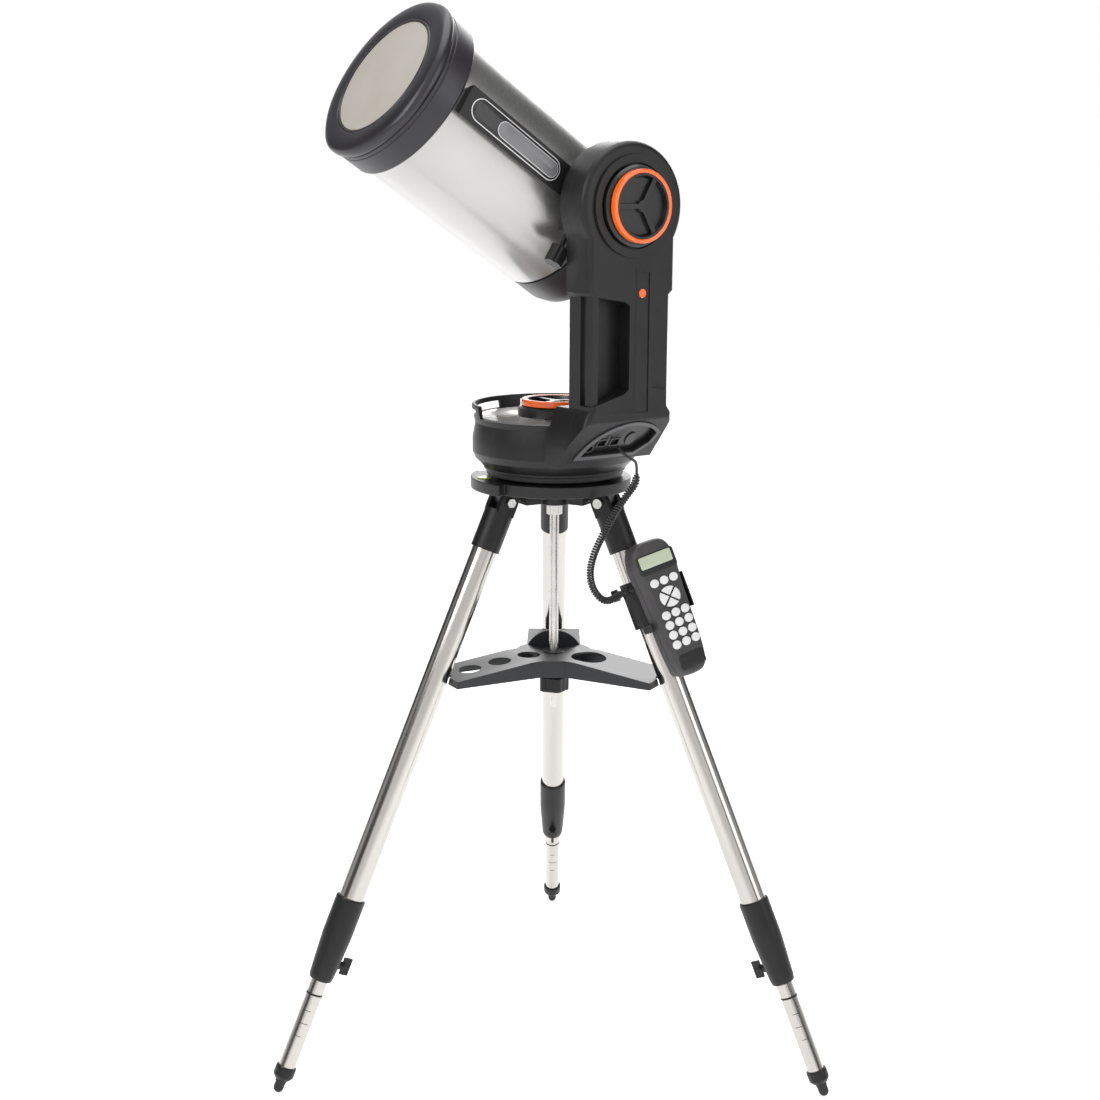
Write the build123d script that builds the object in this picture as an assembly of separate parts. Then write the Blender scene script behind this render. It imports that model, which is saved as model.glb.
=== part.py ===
from build123d import *
import math
import os

# Schmidt-Cassegrain telescope on a single fork arm mount and a steel tripod.
# Millimetres, +Z up. Origin: on the ground, under the azimuth axis.
# Front of the object faces -Y. The legs stand at 210, 330 and 90 degrees.

# ---------------------------------------------------------------- tripod
LEG_ANGLES = (210.0, 330.0, 90.0)   # leg 1, 2, 3 about +Z
LEAN = 24.0                         # leg lean from vertical
PIVOT_R = 88.0                      # leg pivot radius from the azimuth axis
PIVOT_Z = 861.0                     # leg pivot height
UPPER_OD = 38.1                     # upper leg tube
UPPER_WALL = 1.5
LOWER_OD = 25.4                     # lower leg tube
LOWER_WALL = 1.5
COLLAR_OD = 45.0                    # plastic collar at the foot of the upper tube
COLLAR_TIP_OD = 34.0
COLLAR_LOW = 180.0                  # collar, measured up the leg from the rubber tip
COLLAR_HIGH = 310.0
YOKE_OD = 44.0                      # moulded yoke at the top of the leg
YOKE_LENGTH = 62.0
YOKE_LOW = 78.0                     # yoke's lower edge, below the pivot
FOOT_OD = 31.0
FOOT_TIP_R = 7.5
FOOT_CAP_LOW = 21.0
FOOT_CAP_HIGH = 42.0
LOWER_TOP = 470.0                   # upper end of the lower tube, from the rubber tip
BOLT_D = 8.0
BOLT_HEAD_D = 15.0
LUG_W = 22.0                        # head lug between the yoke cheeks
FIT = 0.25                          # gap of a sliding or turning fit, on the radius
GAP = 0.6                           # gap between neighbours on different bodies

HEAD_R = 115.0                      # tripod head plate
HEAD_BOTTOM = 876.0
HEAD_TOP = 893.0
LOBE_R = 127.0                      # pad that carries the bubble level
LOBE_ANGLE = 196.0
LEVEL_R = 11.0
ROD_D = 14.0                        # central rod
ROD_THREAD_D = 9.0
ROD_BOTTOM = 528.0
NUT_AF = 21.0
NUT_TOP = 850.0
NUT_BOTTOM = 833.0

TRAY_TOP = 617.0                    # accessory tray
TRAY_DROP = 13.0                    # droop of an arm's tip
TRAY_R = 188.0
TRAY_W = 84.0
TRAY_HUB_R = 60.0
TRAY_DEPTH = 26.0
TRAY_TIP_DEPTH = 11.0
TRAY_WALL = 3.0
EYEPIECE_D = 35.0                   # tray holes for eyepieces
EYEPIECE_2IN_D = 54.0
EYEPIECE_R = (44.0, 95.0, 146.0)
BIG_HOLE_R = 62.0
KNOB_TOP = 578.0                    # tray knob
KNOB_BOTTOM = 556.0
KNOB_R = 24.0

# ---------------------------------------------------------------- mount
MOUNT_TURN = 36.3                   # azimuth of the mount from the front
FOOT_R = 103.0                      # fixed foot disc
FOOT_PAD_R = 88.0
FOOT_Z = (893.0, 897.0, 905.0)      # pad bottom, disc bottom, disc top
SPINDLE_D = 30.0                    # azimuth spindle
BASE_R = 124.0                      # turning base, widest
BASE_TOP_R = 120.0
BASE_LOW_R = 107.0
BASE_Z = (905.6, 922.0, 932.0, 952.0, 975.0)
BASE_WALL = 4.0
DECK_TOP = 984.0
DECK_WALL = 4.0
RIM_R = 125.0
RIM_TOP = 1003.0
RIM_WALL = 5.0
RIM_SPAN = (-169.0, -11.0)          # rim, in mount degrees; the arm stands at +90
HANDLE_SPANS = ((-81.0, -17.0), (-163.0, -99.0))
HANDLE_Z = (985.0, 996.0)

ALT_Z = 1294.0                      # altitude axis height
ARM_IN = 128.0                      # arm's inner face, from the azimuth axis
ARM_SEAM = 148.0
ARM_OUT = 182.0
ARM_FRONT = 70.0                    # arm's half widths
ARM_BACK = 69.0
ARM_BLOCK = 76.0                    # half width of the block under the head
ARM_HEAD_R = 88.0
ARM_SHOULDER_Z = 1176.0
ARM_FOOT_Z = 1012.0
ARM_WALL = 4.0
ARM_EDGE = 9.0                      # edge rounding of the outer shell
FOOT_FRONT = 92.0
FOOT_LOW_Z = 934.0
BOSS_R = 70.0                       # round boss on the arm head
BOSS_OUT = 186.0
BOSS_WELL_R = 59.0
POCKET_X = (5.0, 62.0)              # carry pocket in the outer shell
POCKET_A = 154.0
POCKET_Z = (1020.0, 1040.0, 1157.0, 1173.0)
STRIP_X = (-30.0, -6.0)             # shallow upright recess
STRIP_Z = (1006.0, 1203.0)
STRIP_DEPTH = 1.5
PORT_TOP_Z = 996.0                  # slanted port bay under the arm's foot
PORT_IN_A = 133.0
PORT_DEPTH = 9.0
TRIM_W = 7.0
SOCKET = (13.0, 11.0)
SOCKET_X = (26.0, 3.0)
JACK_X = 48.0

CLUTCH_R = 56.0                     # clutch knobs
RING_R = 50.5
RING_H = 10.0
AZ_KNOB_Z = (985.0, 1000.0)
ALT_KNOB_A = (184.0, 194.0)
KNOB_DISH = 9.0
SHAFT_D = 25.0                      # altitude shaft

# ---------------------------------------------------------------- optical tube
ALTITUDE = 32.8                     # tube elevation above the horizon
TUBE_TOP_A = 106.0                  # tube's outermost line on the arm's side, from the azimuth axis
TUBE_OFF_N = -11.0                  # tube axis, off the altitude axis
TUBE_R = 114.0
TUBE_OFF_A = TUBE_TOP_A - TUBE_R    # tube axis, off the azimuth axis
TUBE_WALL = 1.5
TUBE_S = (-12.0, 277.0)             # ends of the aluminium tube, along the optical axis
CELL_R = TUBE_R + 6.0
CELL_FRONT = 318.0
CAP_R = TUBE_R + 7.0
CAP_FRONT = 334.0
CAP_LOBE_R = TUBE_R + 10.0
CAP_LOBES = 4
CAP_DISC_R = 86.0
CAP_DISC_DEPTH = 2.5
CORRECTOR_R = TUBE_R - 10.0
CORRECTOR_T = 5.0
CORRECTOR_S = 300.0
SECONDARY_R = 34.0
APERTURE_R = 101.6
REAR_CELL_R = TUBE_R - 1.0
REAR_CELL_BACK = -83.0
REAR_NECK_R = 46.0
BAFFLE_R = 19.0
MIRROR_R = TUBE_R - 11.0
MIRROR_T = 18.0
MIRROR_S = -36.0                    # back of the primary mirror
FOCUS_N = -62.0                     # focus knob, off the optical axis
FOCUS_R = 13.0
VISUAL_OD = 48.0
VISUAL_BORE = 31.75                 # 1.25 inch eyepiece fit
VISUAL_BACK = -130.0
DOVETAIL_W = 44.0
DOVETAIL_NECK = 36.0
DOVETAIL_T = 15.0
DOVETAIL_S = (-20.0, 272.0)
SADDLE_R = 52.0
CLAMP_S = 32.0
CLAMP_A = 113.0
CLAMP_R = 13.5

# ---------------------------------------------------------------- hand control
HC_LEG = 330.0                      # the leg that carries it
HC_TURN = 16.0                      # turned about the leg
HC_Y = -5.0                         # middle of its face, sideways
HC_TOP = -76.0                      # along the leg, from the pivot
HC_BOTTOM = -282.0
HC_BACK = 35.0                      # case back and face, out from the leg axis
HC_FACE = 62.0
HC_HALF_TOP = 45.0
HC_HALF_WAIST = 37.5
HC_HALF_BOTTOM = 35.0
KEY_RISE = 2.0
KEY_STEM = 5.0
KEY_GAP = 0.35
COLUMN_STEP = 21.0
ROW_STEP = 15.0
KEY_Z = (-139.0, -164.0, -188.5)    # top keys, arrow pad, first number row
KEY_HALF = (9.0, 6.7)
PAD_HALF = (21.5, 15.5)
CLAMP_Z = (-196.0, -126.0)          # holder's clamp on the leg

# ---------------------------------------------------------------- cord
LEAD_D = 4.0
COIL_D = 11.0


def at_mount(shape):
    """Place a shape made in mount axes: X ahead of the tube, Y towards the arm."""
    return Rot(0, 0, 180.0 + MOUNT_TURN) * shape


def at_leg(angle, shape):
    """Place a shape made in leg axes: origin at the pivot, Z up the leg, X outwards."""
    return Rot(0, 0, angle) * Pos(PIVOT_R, 0, PIVOT_Z) * Rot(0, -LEAN, 0) * shape


def tube(outer_r, inner_r, low, high):
    """Straight round tube along Z."""
    body = Pos(0, 0, (low + high) / 2) * Cylinder(outer_r, high - low)
    bore = Pos(0, 0, (low + high) / 2) * Cylinder(inner_r, high - low + 2)
    return body - bore


def rod(radius, low, high):
    """Round bar along Z."""
    return Pos(0, 0, (low + high) / 2) * Cylinder(radius, high - low)


def turned(points):
    """Solid of revolution about Z from (radius, height) points."""
    return revolve(Plane.XZ * make_face(Polyline(*[(r, h) for r, h in points], close=True)), Axis.Z)


def block(x, y, z):
    """Box between the pairs x, y and z."""
    size = [b - a for a, b in (x, y, z)]
    middle = [(a + b) / 2 for a, b in (x, y, z)]
    return Pos(*middle) * Box(*size)


def along_y(shape, y=0.0):
    """Turn a shape made along Z so that it points along +Y, from y."""
    return Pos(0, y, 0) * Rot(-90, 0, 0) * shape


def sector(radius, start, end, low, high):
    """Wedge of a disc between two angles, in degrees."""
    steps = max(2, int(abs(end - start) / 30) + 1)
    angles = [math.radians(start + (end - start) * i / steps) for i in range(steps + 1)]
    rim = [(2 * radius * math.cos(a), 2 * radius * math.sin(a)) for a in angles]
    return Pos(0, 0, low) * extrude(make_face(Polyline((0, 0), *rim, close=True)), high - low)


def side_plate(points, a_low, a_high):
    """Plate with an (x, z) outline, between two distances along Y."""
    face = make_face(Polyline(*[(x, -z) for x, z in points], close=True))
    return Pos(0, a_low, 0) * Rot(-90, 0, 0) * extrude(face, a_high - a_low)


# ================================================================ tripod
LEG_LENGTH = PIVOT_Z / math.cos(math.radians(LEAN))


def from_tip(distance):
    """Leg height of a place given by its distance up from the rubber tip."""
    return distance - LEG_LENGTH


def head_lugs():
    """Three lugs under the plate, one between the cheeks of each leg yoke."""
    lugs = []
    for angle in LEG_ANGLES:
        lug = block((PIVOT_R - 26, PIVOT_R + 10), (-LUG_W / 2, LUG_W / 2), (PIVOT_Z, HEAD_BOTTOM + 1))
        lug += Pos(PIVOT_R, 0, PIVOT_Z) * Rot(90, 0, 0) * Cylinder(10, LUG_W)
        lug += block((PIVOT_R - 50, PIVOT_R - 24), (-26, 26), (PIVOT_Z - 6, HEAD_BOTTOM + 1))
        lug -= Pos(PIVOT_R, 0, PIVOT_Z) * Rot(90, 0, 0) * Cylinder(BOLT_D / 2 + 0.1, LUG_W + 2)
        lugs.append(Rot(0, 0, angle) * lug)
    return lugs


def tripod_head():
    plate = rod(HEAD_R, HEAD_BOTTOM, HEAD_TOP)
    lobe = rod(LOBE_R, HEAD_BOTTOM, HEAD_TOP) & sector(LOBE_R, LOBE_ANGLE - 34, LOBE_ANGLE + 34,
                                                      HEAD_BOTTOM, HEAD_TOP)
    plate += lobe
    for lug in head_lugs():
        plate += lug
    plate += rod(26, NUT_TOP, HEAD_BOTTOM + 1)
    level = Rot(0, 0, LOBE_ANGLE) * Pos(LOBE_R - 18, 0, HEAD_TOP - 2) * Cylinder(LEVEL_R + 0.1, 6)
    plate -= level
    plate -= rod(ROD_D / 2, NUT_TOP - 1, HEAD_TOP + 1)
    return plate


def bubble_level():
    vial = Rot(0, 0, LOBE_ANGLE) * Pos(LOBE_R - 18, 0, HEAD_TOP - 1.75) * Cylinder(LEVEL_R, 6.4)
    return vial


def pivot_bolts():
    """Each bolt runs across its yoke, with a domed head on one side and a nut on the other."""
    bolts = []
    half = YOKE_OD / 2 + 0.2
    for angle in LEG_ANGLES:
        shank = Rot(90, 0, 0) * Cylinder(BOLT_D / 2, 2 * half)
        head = Pos(0, -half - 2.5, 0) * Rot(90, 0, 0) * Cylinder(BOLT_HEAD_D / 2, 5)
        nut = Pos(0, half + 2.5, 0) * Rot(90, 0, 0) * extrude(RegularPolygon(BOLT_HEAD_D / 2, 6), 5, both=True)
        nut &= Pos(0, half + 2.5, 0) * Box(40, 5, 40)
        bolt = shank + head + nut
        bolts.append(Rot(0, 0, angle) * Pos(PIVOT_R, 0, PIVOT_Z) * bolt)
    return bolts


def centre_rod():
    bar = rod(ROD_D / 2, KNOB_TOP + 20, FOOT_Z[0] - 0.5)
    bar += rod(ROD_THREAD_D / 2, ROD_BOTTOM, KNOB_TOP + 21)
    nut = Pos(0, 0, NUT_BOTTOM) * extrude(RegularPolygon(NUT_AF / math.sqrt(3), 6), NUT_TOP - NUT_BOTTOM)
    return bar + nut


def tray_arm(angle):
    """One drooping arm: a side outline extruded to the arm's width, hollow underneath."""
    rise = TRAY_TOP - TRAY_DROP
    outer = [(0, TRAY_TOP), (TRAY_HUB_R, TRAY_TOP), (TRAY_R, rise),
             (TRAY_R, rise - TRAY_TIP_DEPTH), (TRAY_HUB_R, TRAY_TOP - TRAY_DEPTH), (0, TRAY_TOP - TRAY_DEPTH)]
    inner = [(TRAY_HUB_R * 0.5, TRAY_TOP - TRAY_WALL), (TRAY_HUB_R, TRAY_TOP - TRAY_WALL),
             (TRAY_R - TRAY_WALL, rise - TRAY_WALL), (TRAY_R - TRAY_WALL, rise - 40),
             (TRAY_HUB_R * 0.5, rise - 40)]
    arm = side_plate(outer, -TRAY_W / 2, TRAY_W / 2)
    cave = side_plate(inner, -TRAY_W / 2 + TRAY_WALL, TRAY_W / 2 - TRAY_WALL)
    leg = Pos(PIVOT_R, 0, PIVOT_Z) * Rot(0, -LEAN, 0) * rod(UPPER_OD / 2 + 3 * GAP, -600, 0)
    return [Rot(0, 0, angle) * s for s in (arm - leg, cave, leg)]


def accessory_tray():
    hub = rod(TRAY_HUB_R, TRAY_TOP - TRAY_DEPTH, TRAY_TOP)
    core = rod(20, TRAY_TOP - TRAY_DEPTH, TRAY_TOP)
    tray = hub
    caves = []
    for angle in LEG_ANGLES:
        arm, cave, leg = tray_arm(angle)
        tray += arm
        caves.append(cave)
    for cave in caves:
        tray -= cave
    tray += core
    for r in EYEPIECE_R:
        tray -= Rot(0, 0, LEG_ANGLES[0]) * Pos(r, 0, TRAY_TOP) * Cylinder(EYEPIECE_D / 2, 60)
    tray -= Rot(0, 0, LEG_ANGLES[1]) * Pos(BIG_HOLE_R, 0, TRAY_TOP) * Cylinder(EYEPIECE_2IN_D / 2, 60)
    arch = along_y(rod(46, 0, 8), 38)
    arch = Pos(0, 0, TRAY_TOP - 22) * (arch & block((-50, 50), (30, 60), (21.5, 50)))
    tray += arch
    tray += rod(16, TRAY_TOP, TRAY_TOP + 1.5)
    tray -= rod(ROD_D / 2 + FIT, 500, 700)
    return tray


def tray_knob():
    """Lobed hand nut that holds the tray up."""
    knob = rod(KNOB_R - 3, KNOB_BOTTOM, KNOB_TOP)
    for i in range(5):
        lobe = Rot(0, 0, 72 * i) * Pos(KNOB_R - 9, 0, (KNOB_BOTTOM + KNOB_TOP) / 2)
        knob += lobe * Cylinder(9, KNOB_TOP - KNOB_BOTTOM)
    knob += rod(13, KNOB_TOP, TRAY_TOP - TRAY_DEPTH - 0.3)
    return knob - rod(ROD_THREAD_D / 2 + FIT, 500, KNOB_TOP + 20.2) - rod(ROD_D / 2 + FIT, KNOB_TOP + 19.9, 700)


def leg_tube(angle):
    return at_leg(angle, tube(UPPER_OD / 2, UPPER_OD / 2 - UPPER_WALL, from_tip(COLLAR_LOW + 45), -30))


def leg_yoke():
    """Moulded sleeve with two cheeks that take the pivot bolt."""
    sleeve = rod(YOKE_OD / 2, -YOKE_LOW, -YOKE_LOW + YOKE_LENGTH)
    cheeks = Rot(90, 0, 0) * Cylinder(14, YOKE_OD - 0.6)
    cheeks += block((-14, 14), (-YOKE_OD / 2 + 0.3, YOKE_OD / 2 - 0.3), (-YOKE_LOW + YOKE_LENGTH - 4, 0))
    slot = block((-40, 40), (-LUG_W / 2 - FIT, LUG_W / 2 + FIT), (-YOKE_LOW + YOKE_LENGTH, 40))
    sleeve += cheeks - slot
    sleeve -= rod(UPPER_OD / 2 + 0.02, -YOKE_LOW - 1, -30 + 0.1)
    return sleeve - Rot(90, 0, 0) * Cylinder(BOLT_D / 2 + FIT, 60)


def leg_collar():
    """Tapered plastic collar with a boss for the lock knob on its inner side."""
    low, high = from_tip(COLLAR_LOW), from_tip(COLLAR_HIGH)
    r, tip = COLLAR_OD / 2, COLLAR_TIP_OD / 2
    shell = turned([(0, low), (tip, low), (r - 1.5, low + 45), (r, low + 70), (r, high), (0, high)])
    boss = Pos(-tip - 2, 0, low + 26) * Rot(0, 90, 0) * Cylinder(6, 10)
    shell += boss
    shell -= rod(LOWER_OD / 2 + FIT, low - 1, high)
    shell -= rod(UPPER_OD / 2 + 0.02, low + 45, high + 1)
    return shell - Pos(-tip - 5, 0, low + 26) * Rot(0, 90, 0) * Cylinder(3 + FIT, 40)


def leg_fittings(angle):
    return Compound(children=[at_leg(angle, leg_yoke()), at_leg(angle, leg_collar())])


def lock_knob(angle):
    """Wing screw that clamps the lower tube."""
    low = from_tip(COLLAR_LOW)
    tip = COLLAR_TIP_OD / 2
    stem = rod(3, 0, 24) + rod(6, 12, 16) + block((-13, 13), (-2.2, 2.2), (14, 27))
    placed = Pos(-LOWER_OD / 2 - 0.6, 0, low + 26) * Rot(0, -90, 0) * stem
    return at_leg(angle, placed - rod(LOWER_OD / 2 + 0.5, low, low + 60))


def leg_lower(angle):
    pipe = tube(LOWER_OD / 2, LOWER_OD / 2 - LOWER_WALL, from_tip(FOOT_CAP_LOW + 4), from_tip(LOWER_TOP))
    cap_low, cap_high = from_tip(FOOT_CAP_LOW), from_tip(FOOT_CAP_HIGH)
    r = FOOT_OD / 2
    centre = from_tip(FOOT_TIP_R / math.cos(math.radians(LEAN)))
    cap = turned([(0, cap_low), (r - 5, cap_low), (r, cap_low + 6), (r, cap_high), (0, cap_high)])
    cap -= rod(LOWER_OD / 2 + 0.02, cap_low + 4, cap_high + 1)
    tip = rod(FOOT_TIP_R, centre, cap_low + 2) + Pos(0, 0, centre) * Sphere(FOOT_TIP_R)
    return Compound(children=[at_leg(angle, pipe), at_leg(angle, cap + tip)])


# ================================================================ azimuth base
def mount_foot():
    """Fixed foot: pad, disc and the azimuth spindle."""
    foot = rod(FOOT_PAD_R, FOOT_Z[0], FOOT_Z[1]) + rod(FOOT_R, FOOT_Z[1], FOOT_Z[2])
    return foot + rod(SPINDLE_D / 2, FOOT_Z[2], AZ_KNOB_Z[1] - 12)


def azimuth_gear():
    gear = tube(62, SPINDLE_D / 2 + 0.02, FOOT_Z[2] + 12, FOOT_Z[2] + 22)
    teeth = [Rot(0, 0, 6 * i) * Pos(62, 0, FOOT_Z[2] + 17) * Cylinder(1.6, 8) for i in range(60)]
    return gear - teeth


def base_profile(inset):
    """(radius, height) outline of the turning base, moved in by inset."""
    z = BASE_Z
    return [(0, z[0] + inset), (BASE_LOW_R - inset, z[0] + inset), (BASE_LOW_R - inset, z[0] + 3 + inset),
            (BASE_R - 4 - inset, z[1] + inset), (BASE_R - inset, z[2]), (BASE_R - inset, z[3]),
            (BASE_TOP_R - inset, z[4] + inset), (0, z[4] + inset)]


def arm_outline():
    """(x, z) outline of the arm above its foot."""
    return [(ARM_FRONT, ARM_FOOT_Z), (ARM_FRONT, ARM_SHOULDER_Z - 6), (ARM_BLOCK, ARM_SHOULDER_Z),
            (ARM_BLOCK, ALT_Z + 30), (-ARM_BLOCK, ALT_Z + 30), (-ARM_BLOCK, ARM_SHOULDER_Z),
            (-ARM_BACK, ARM_SHOULDER_Z - 6), (-ARM_BACK, ARM_FOOT_Z)]


def foot_outline(inset=0.0):
    """(x, z) outline of the arm's flared foot."""
    return [(ARM_FRONT - inset, ARM_FOOT_Z + 1), (ARM_FRONT + 5 - inset, ARM_FOOT_Z - 4),
            (FOOT_FRONT - inset, FOOT_LOW_Z + 30), (FOOT_FRONT - inset, FOOT_LOW_Z + inset),
            (-ARM_BLOCK + inset, FOOT_LOW_Z + inset), (-ARM_BLOCK + inset, ARM_FOOT_Z - 8),
            (-ARM_BACK + inset, ARM_FOOT_Z + 1)]


def head_disc(inset, a_low, a_high):
    return along_y(Pos(0, -ALT_Z, 0) * rod(ARM_HEAD_R - inset, a_low, a_high))


def arm_solid(a_low, a_high):
    """Arm between two distances from the azimuth axis."""
    arm = side_plate(arm_outline(), a_low, a_high)
    arm &= side_plate([(-200, 900), (200, 900), (200, ALT_Z), (-200, ALT_Z)], a_low, a_high)
    return arm + head_disc(0, a_low, a_high)


def slant_frame():
    """Location on the slanted port face: X along the arm, Z square out of the face."""
    rise, run = PORT_TOP_Z - FOOT_LOW_Z, ARM_OUT - PORT_IN_A
    tilt = math.degrees(math.atan2(rise, run))
    return Pos(8, (ARM_OUT + PORT_IN_A) / 2, (PORT_TOP_Z + FOOT_LOW_Z) / 2) * Rot(tilt + 180, 0, 0)


SLANT_H = math.hypot(PORT_TOP_Z - FOOT_LOW_Z, ARM_OUT - PORT_IN_A)
PORT_LEFT = 62.0                    # port bay's outline on the slanted face
PORT_RIGHT = -76.0
PORT_FLOOR = 33.0
PORT_CROWN = -34.0
PORT_SHOULDER = -12.0
PORT_CORNER = -48.0


def port_bay(inset, low, high):
    """Lens-shaped prism on the slanted face, arched above and flat below."""
    left, right, floor = PORT_LEFT - 1.6 * inset, PORT_RIGHT + inset, PORT_FLOOR - inset
    shoulder = PORT_SHOULDER + 0.3 * inset
    arch = ThreePointArc((left, floor), (0, PORT_CROWN + inset), (right, shoulder))
    corner = PORT_CORNER + 0.6 * inset
    base = Polyline((right, shoulder), (right + 5, PORT_SHOULDER + 20), (corner, floor), (left, floor))
    return slant_frame() * Pos(0, 0, low) * extrude(make_face(arch + base), high - low)


def slant_wedge():
    """Everything outside the slanted face."""
    return slant_frame() * block((-150, 150), (-120, 120), (0, 90))


def foot_solid(inset, a_low, a_high):
    foot = side_plate(foot_outline(inset), a_low, a_high)
    return foot - slant_wedge()


def base_housing():
    body = turned(base_profile(0))
    cave = turned(base_profile(BASE_WALL))
    body -= cave
    body -= foot_solid(-0.1, ARM_IN - 29, ARM_OUT + 10)
    body -= rod(SPINDLE_D / 2 + FIT, 890, 930)
    return body


def base_deck():
    """Lid of the base, with the raised rim that doubles as a carry handle."""
    lid = turned([(0, BASE_Z[4] + 0.1), (BASE_TOP_R, BASE_Z[4] + 0.1), (BASE_TOP_R + 2, DECK_TOP),
                  (BASE_TOP_R - 3, DECK_TOP + 1.5), (BASE_TOP_R - 6, DECK_TOP), (0, DECK_TOP)])
    lip = turned([(BASE_TOP_R + 2 - RIM_WALL, BASE_Z[4] + 5), (BASE_TOP_R + 1, BASE_Z[4] + 5),
                  (RIM_R, RIM_TOP - 6), (RIM_R, RIM_TOP - 1.5), (RIM_R - 1.5, RIM_TOP),
                  (RIM_R - RIM_WALL, RIM_TOP), (RIM_R - RIM_WALL - 1, RIM_TOP - 3)])
    lip &= sector(200, RIM_SPAN[0], RIM_SPAN[1], 900, 1100)
    for start, end in HANDLE_SPANS:
        lip -= sector(200, start, end, HANDLE_Z[0], HANDLE_Z[1])
    lid += lip
    lid -= foot_solid(-0.3, ARM_IN - 29.5, ARM_OUT + 10)
    lid -= side_plate(arm_outline(), ARM_IN - 29.5, ARM_OUT + 10)
    return lid - rod(SPINDLE_D / 2 + FIT, 900, 1020)


def arm_inner_shell():
    """Inner half of the arm, with the foot that runs into the base."""
    shell = arm_solid(ARM_IN, ARM_SEAM)
    cave = side_plate([(x * 0.93, z) for x, z in arm_outline()], ARM_IN + ARM_WALL, ARM_SEAM + 1)
    cave &= block((-90, 90), (0, 300), (ARM_FOOT_Z - 20, ALT_Z))
    cave += head_disc(ARM_WALL, ARM_IN + ARM_WALL, ARM_SEAM + 1)
    foot = foot_solid(0, ARM_IN - 28, ARM_SEAM)
    hollow = foot_solid(ARM_WALL, ARM_IN - 40, ARM_SEAM + 1) & block((-200, 200), (0, 300), (900, 1000))
    foot -= hollow - slant_frame() * block((-150, 150), (-120, 120), (-PORT_DEPTH - ARM_WALL, 1))
    shell = shell - cave + foot - port_bay(TRIM_W, -PORT_DEPTH, 40)
    shell -= cave & block((-60, 60), (0, 300), (ARM_FOOT_Z - 20, ALT_Z))
    return shell - along_y(Pos(0, -ALT_Z, 0) * rod(SHAFT_D / 2 + FIT, 100, 200))


def pocket():
    """Carry pocket: slanted sill and head, open to the front and to the outside."""
    x0, x1 = POCKET_X
    z0, z1, z2, z3 = POCKET_Z
    outline = [(x0, z1), (x0, z2), (x0 + 8, z2 + 6), (ARM_FRONT + 10, z3), (ARM_FRONT + 10, z0 - 4), (x0 + 8, z1 - 6)]
    return side_plate(outline, POCKET_A, ARM_OUT + 10)


def handle_bar():
    """Upright post across the pocket's mouth."""
    return block((POCKET_X[1] - 4, POCKET_X[1] + 5), (162, 179), (POCKET_Z[0] - 4, POCKET_Z[3] + 4))


def arm_outer_shell():
    """Outer half of the arm, with boss, carry pocket, upright recess and port bay."""
    shell = arm_solid(ARM_SEAM + 0.1, ARM_OUT) + foot_solid(0, ARM_SEAM + 0.1, ARM_OUT)
    edges = shell.faces().sort_by(Axis.Y)[-1].outer_wire().edges()
    shell = fillet(edges, ARM_EDGE)
    shell += along_y(Pos(0, -ALT_Z, 0) * rod(BOSS_R, ARM_OUT - 10, BOSS_OUT))
    cave = side_plate([(x * 0.9, z) for x, z in arm_outline()], ARM_SEAM - 1, ARM_OUT - ARM_WALL - 2)
    cave &= block((-90, 90), (0, 300), (ARM_FOOT_Z - 10, ALT_Z))
    cave += head_disc(ARM_WALL + 4, ARM_SEAM - 1, ARM_OUT - ARM_WALL - 2)
    grip = pocket()
    around = side_plate([(POCKET_X[0] - 4, POCKET_Z[1] - 8), (POCKET_X[0] - 4, POCKET_Z[2] + 6),
                         (POCKET_X[0] + 4, POCKET_Z[3] + 6), (100, POCKET_Z[3] + 6), (100, POCKET_Z[0] - 10),
                         (POCKET_X[0] + 4, POCKET_Z[0] - 6)], POCKET_A - 3, ARM_OUT + 10)
    shell -= cave - around
    shell = shell - grip + handle_bar()
    shell -= block(STRIP_X, (ARM_OUT - STRIP_DEPTH, ARM_OUT + 5), STRIP_Z)
    back = [(-ARM_BACK - 20, POCKET_Z[0] + 12), (-ARM_BACK - 20, POCKET_Z[3]), (-42, POCKET_Z[2]), (-38, POCKET_Z[1])]
    shell -= side_plate(back, ARM_OUT - 5, ARM_OUT + 5)
    shell -= port_bay(TRIM_W, -PORT_DEPTH, 40)
    shell -= along_y(Pos(0, -ALT_Z, 0) * rod(BOSS_WELL_R, ARM_OUT - 2, BOSS_OUT + 5))
    return shell - along_y(Pos(0, -ALT_Z, 0) * rod(SHAFT_D / 2 + FIT, 100, 250))


def port_trim():
    """Grey arched frame round the port bay."""
    return port_bay(0, 0.05, 2.2) - port_bay(TRIM_W - 0.5, -1, 5)


def socket_spots():
    """Centres of the sockets on the panel, in the slanted face's axes."""
    return [(x - 8, 8) for x in SOCKET_X]


def port_panel():
    """Dark panel in the bay, with two sockets, a round power jack and an oval button."""
    panel = port_bay(TRIM_W + 0.3, -PORT_DEPTH + 0.05, -PORT_DEPTH + 3)
    for x, y in socket_spots():
        hole = slant_frame() * Pos(x, y, -PORT_DEPTH + 1) * Box(SOCKET[0], SOCKET[1], 10)
        rim = slant_frame() * Pos(x, y, -PORT_DEPTH + 3) * Box(SOCKET[0] + 4, SOCKET[1] + 4, 3)
        panel = panel + rim - hole
    jack = rod(8, -PORT_DEPTH + 2, -PORT_DEPTH + 8) - rod(5, -PORT_DEPTH - 2, -PORT_DEPTH + 9)
    panel += slant_frame() * Pos(JACK_X - 8, 14, 0) * jack
    button = Pos(-32, 4, -PORT_DEPTH + 2) * extrude(Ellipse(9, 12), 3)
    return (panel + slant_frame() * button) & port_bay(TRIM_W + 0.3, -PORT_DEPTH, PORT_DEPTH)


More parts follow.
